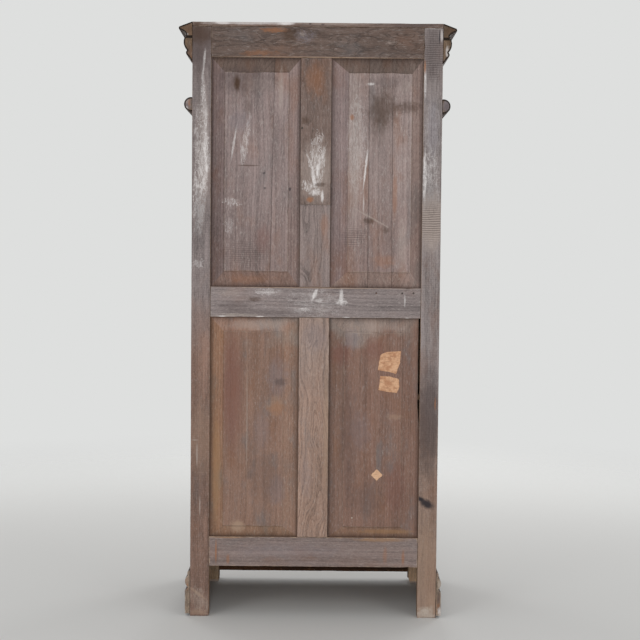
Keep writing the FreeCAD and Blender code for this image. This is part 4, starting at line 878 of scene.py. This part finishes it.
skirt_end_oak = bare_oak(
    "oak_skirt_ends", (142, 124, 108), warmth=0.4, contrast=1.2, edge=(rgb(200, 188, 174), 0.7), marks=[
    ("tan", 445, 130, 12, 30, 60, 50, 20), ("orange", 443, 105, 5, 18, 50, 50, 20),
    ("dust", -449, 118, 10, 30, 70, 50, 40), ("dark", -444, 65, 8, 50, 80, 50, 30),
    ("lime", -450, 22, 12, 20, 80, 60, 40), ("orange", -444, 45, 5, 10, 50, 50, 0)])
for name in ("crown_moulding", "cushion_moulding", "torus_moulding"):
    oak_piece(name, "ZYX", [moulding_oak, (end_oak, BACK, REAR)], mitre=0.191, arris=0.0007,
              cells=(0.014, 0.014, 0.05), ends=0.288)
for name in ("skirt_left", "skirt_right"):
    oak_piece(name, "ZXY", [moulding_oak, (skirt_end_oak, BACK, REAR)], arris=0.0008, cells=(0.02, 0.014, 0.03),
              wear=1.4, ends=0.288)
oak_piece("skirt_front", "ZYX", [moulding_oak], arris=0.0008, cells=(0.014, 0.02, 0.03), wear=1.2)


# Doors: two of the same making as the back. A stile at the hinges and one where they meet,
# three rails and two raised panels, waxed outside and raw inside.
for side, bay in (("left", (-0.2975, -0.0675)), ("right", (0.0675, 0.2975))):
    for stile in ("hinge", "meeting"):
        oak_piece("%s_door_stile_%s" % (side, stile), "XYZ", [
            inner_oak, (front_oak, FRONT, FORE), (front_oak, LEFT, -9), (front_oak, RIGHT, -9)])
    for rail in ("top", "middle", "bottom"):
        oak_piece("%s_door_rail_%s" % (side, rail), "ZYX", [inner_oak, (front_oak, FRONT, FORE)])
    for row, heights in (("upper", (1.166, 1.67)), ("lower", (0.4, 1.06))):
        oak_piece("%s_door_panel_%s" % (side, row), "XYZ", [inner_oak, (front_oak, FRONT, 0.22)],
                  sight=bay + heights)


# Ironwork: forged iron, waxed black. Lift-off hinges with turned tips, the lock's case, bolt
# and plate, the key, and a slide bolt inside the left door.
iron = bpy.data.materials.new("iron")
tree = blank(iron)
place = add(tree, "TexCoord").outputs["Object"]
hammer, rust = noisy(place, 90, 5, 0.6), noisy(place, 34, 7, 0.7)
rusty = times(ramped(rust, 0.52, 0.68), 0.7)
colour = tinted(rusty, tinted(hammer, rgb(48, 44, 42), rgb(92, 86, 80)), rgb(104, 62, 40))
coated(colour, maths("MULTIPLY_ADD", rust, 0.5, 0.22), hammer, 0.5, 0.0008,
       {"Metallic": maths("SUBTRACT", 0.9, rusty)})
for name, slot in SLOTS.items():
    if slot == "iron":
        frame["nodes"][name].data.materials.clear()
        frame["nodes"][name].data.materials.append(iron)


# Nails, screws and pins: small forged heads, each at its own turn. Nails hold what is fixed to
# the back, slotted screws stand in the corners of the lock's case and the slide bolt's plate,
# and pins hold the escutcheon.
heads = bpy.data.node_groups.new("driven heads", "GeometryNodeTree")
for label, kind, value in (("Geometry", "Geometry", None), ("Rise", "Float", 0.42), ("Slot", "Float", 0.24),
                           ("Seed", "Int", 5), ("Material", "Material", None)):
    socket = heads.interface.new_socket(label, in_out="INPUT", socket_type="NodeSocket" + kind)
    if value is not None:
        socket.default_value = value
heads.interface.new_socket("Geometry", in_out="OUTPUT", socket_type="NodeSocketGeometry")
takes = heads.nodes.new("NodeGroupInput").outputs
rise = takes["Rise"]


def step(kind, feeds, **settings):
    """The first output of a node of the heads' making."""
    return add(heads, kind, feeds, **settings).outputs[0]


def triple(x, y, z):
    return step("CombineXYZ", {0: x, 1: y, 2: z})


dome = step("GeometryNodeMeshUVSphere", {"Segments": 16, "Rings": 8, "Radius": 1})
dome = step("GeometryNodeTransform", {"Geometry": dome, "Scale": triple(1, 1, rise)})
bar = step("GeometryNodeMeshCube", {"Size": triple(3, takes["Slot"], rise)})
bar = step("GeometryNodeTransform", {"Geometry": bar, "Translation": triple(0, 0, rise)})
slit = step("GeometryNodeMeshBoolean", {"Mesh 1": dome, "Mesh 2": bar}, operation="DIFFERENCE")
way, size, slotted = (
    step("GeometryNodeInputNamedAttribute", {"Name": label}, data_type=kind)
    for label, kind in (("way", "FLOAT_VECTOR"), ("size", "FLOAT"), ("slotted", "BOOLEAN")))
roll = add(heads, "FunctionNodeRandomValue", {2: 0, 3: 6.283, "Seed": takes["Seed"]}, data_type="FLOAT").outputs[1]
roll = step("FunctionNodeAxisAngleToRotation", {"Axis": (0, 0, 1), "Angle": roll})
upright = step("FunctionNodeAlignRotationToVector", {"Vector": way}, axis="Z")
turned = step("FunctionNodeRotateRotation", {"Rotation": upright, "Rotate By": roll}, rotation_space="LOCAL")
plain = step("FunctionNodeBooleanMath", {0: slotted}, operation="NOT")
both = heads.nodes.new("GeometryNodeJoinGeometry")
for chosen, shape in ((slotted, slit), (plain, dome)):
    heads.links.new(step("GeometryNodeInstanceOnPoints", {
        "Points": takes["Geometry"], "Selection": chosen, "Instance": shape, "Rotation": turned, "Scale": size}),
        both.inputs[0])
real = step("GeometryNodeRealizeInstances", {0: both.outputs[0]})
real = step("GeometryNodeSetMaterial", {"Geometry": real, "Material": takes["Material"]})
heads.links.new(real, heads.nodes.new("NodeGroupOutput").inputs[0])

# each is its place, 1 to look back or -1 forward, its radius, and 1 if it is slotted
for body, rows in (
        ("carcass", [(x, 0.2912, z, 1, 0.0034, 0) for x, z in (
            (0.052, 1.719), (-0.212, 1.148), (-0.303, 1.148), (-0.342, 1.149))]),
        ("left_door", [(x, -0.2138, z, 1, 0.0021, 1) for x in (-0.0467, -0.0223) for z in (1.639, 1.741)]),
        ("right_door", [(x, -0.1998, z, 1, 0.0027, 1) for x in (0.01, 0.059) for z in (1.0945, 1.1415)]
         + [(0.0345, -0.2462, z, -1, 0.0018, 0) for z in (1.084, 1.142)])):
    mesh = bpy.data.meshes.new("heads_" + body)
    mesh.from_pydata([row[:3] for row in rows], [], [])
    noted(mesh, "way", "FLOAT_VECTOR", "POINT", [(0, row[3], 0) for row in rows])
    noted(mesh, "size", "FLOAT", "POINT", [row[4] for row in rows])
    noted(mesh, "slotted", "BOOLEAN", "POINT", [row[5] for row in rows])
    driven = stood("heads_" + body, mesh)
    grown = driven.modifiers.new("driven heads", "NODES")
    grown.node_group = heads
    for socket in heads.interface.items_tree:
        if socket.in_out == "INPUT" and socket.name == "Material":
            grown[socket.identifier] = iron
    made = bpy.data.meshes.new_from_object(driven.evaluated_get(bpy.context.evaluated_depsgraph_get()))
    driven.modifiers.clear()
    driven.data = made
    made.materials.pop(index=0)
    made.set_sharp_from_angle(angle=radians(40))
    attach(driven, body)
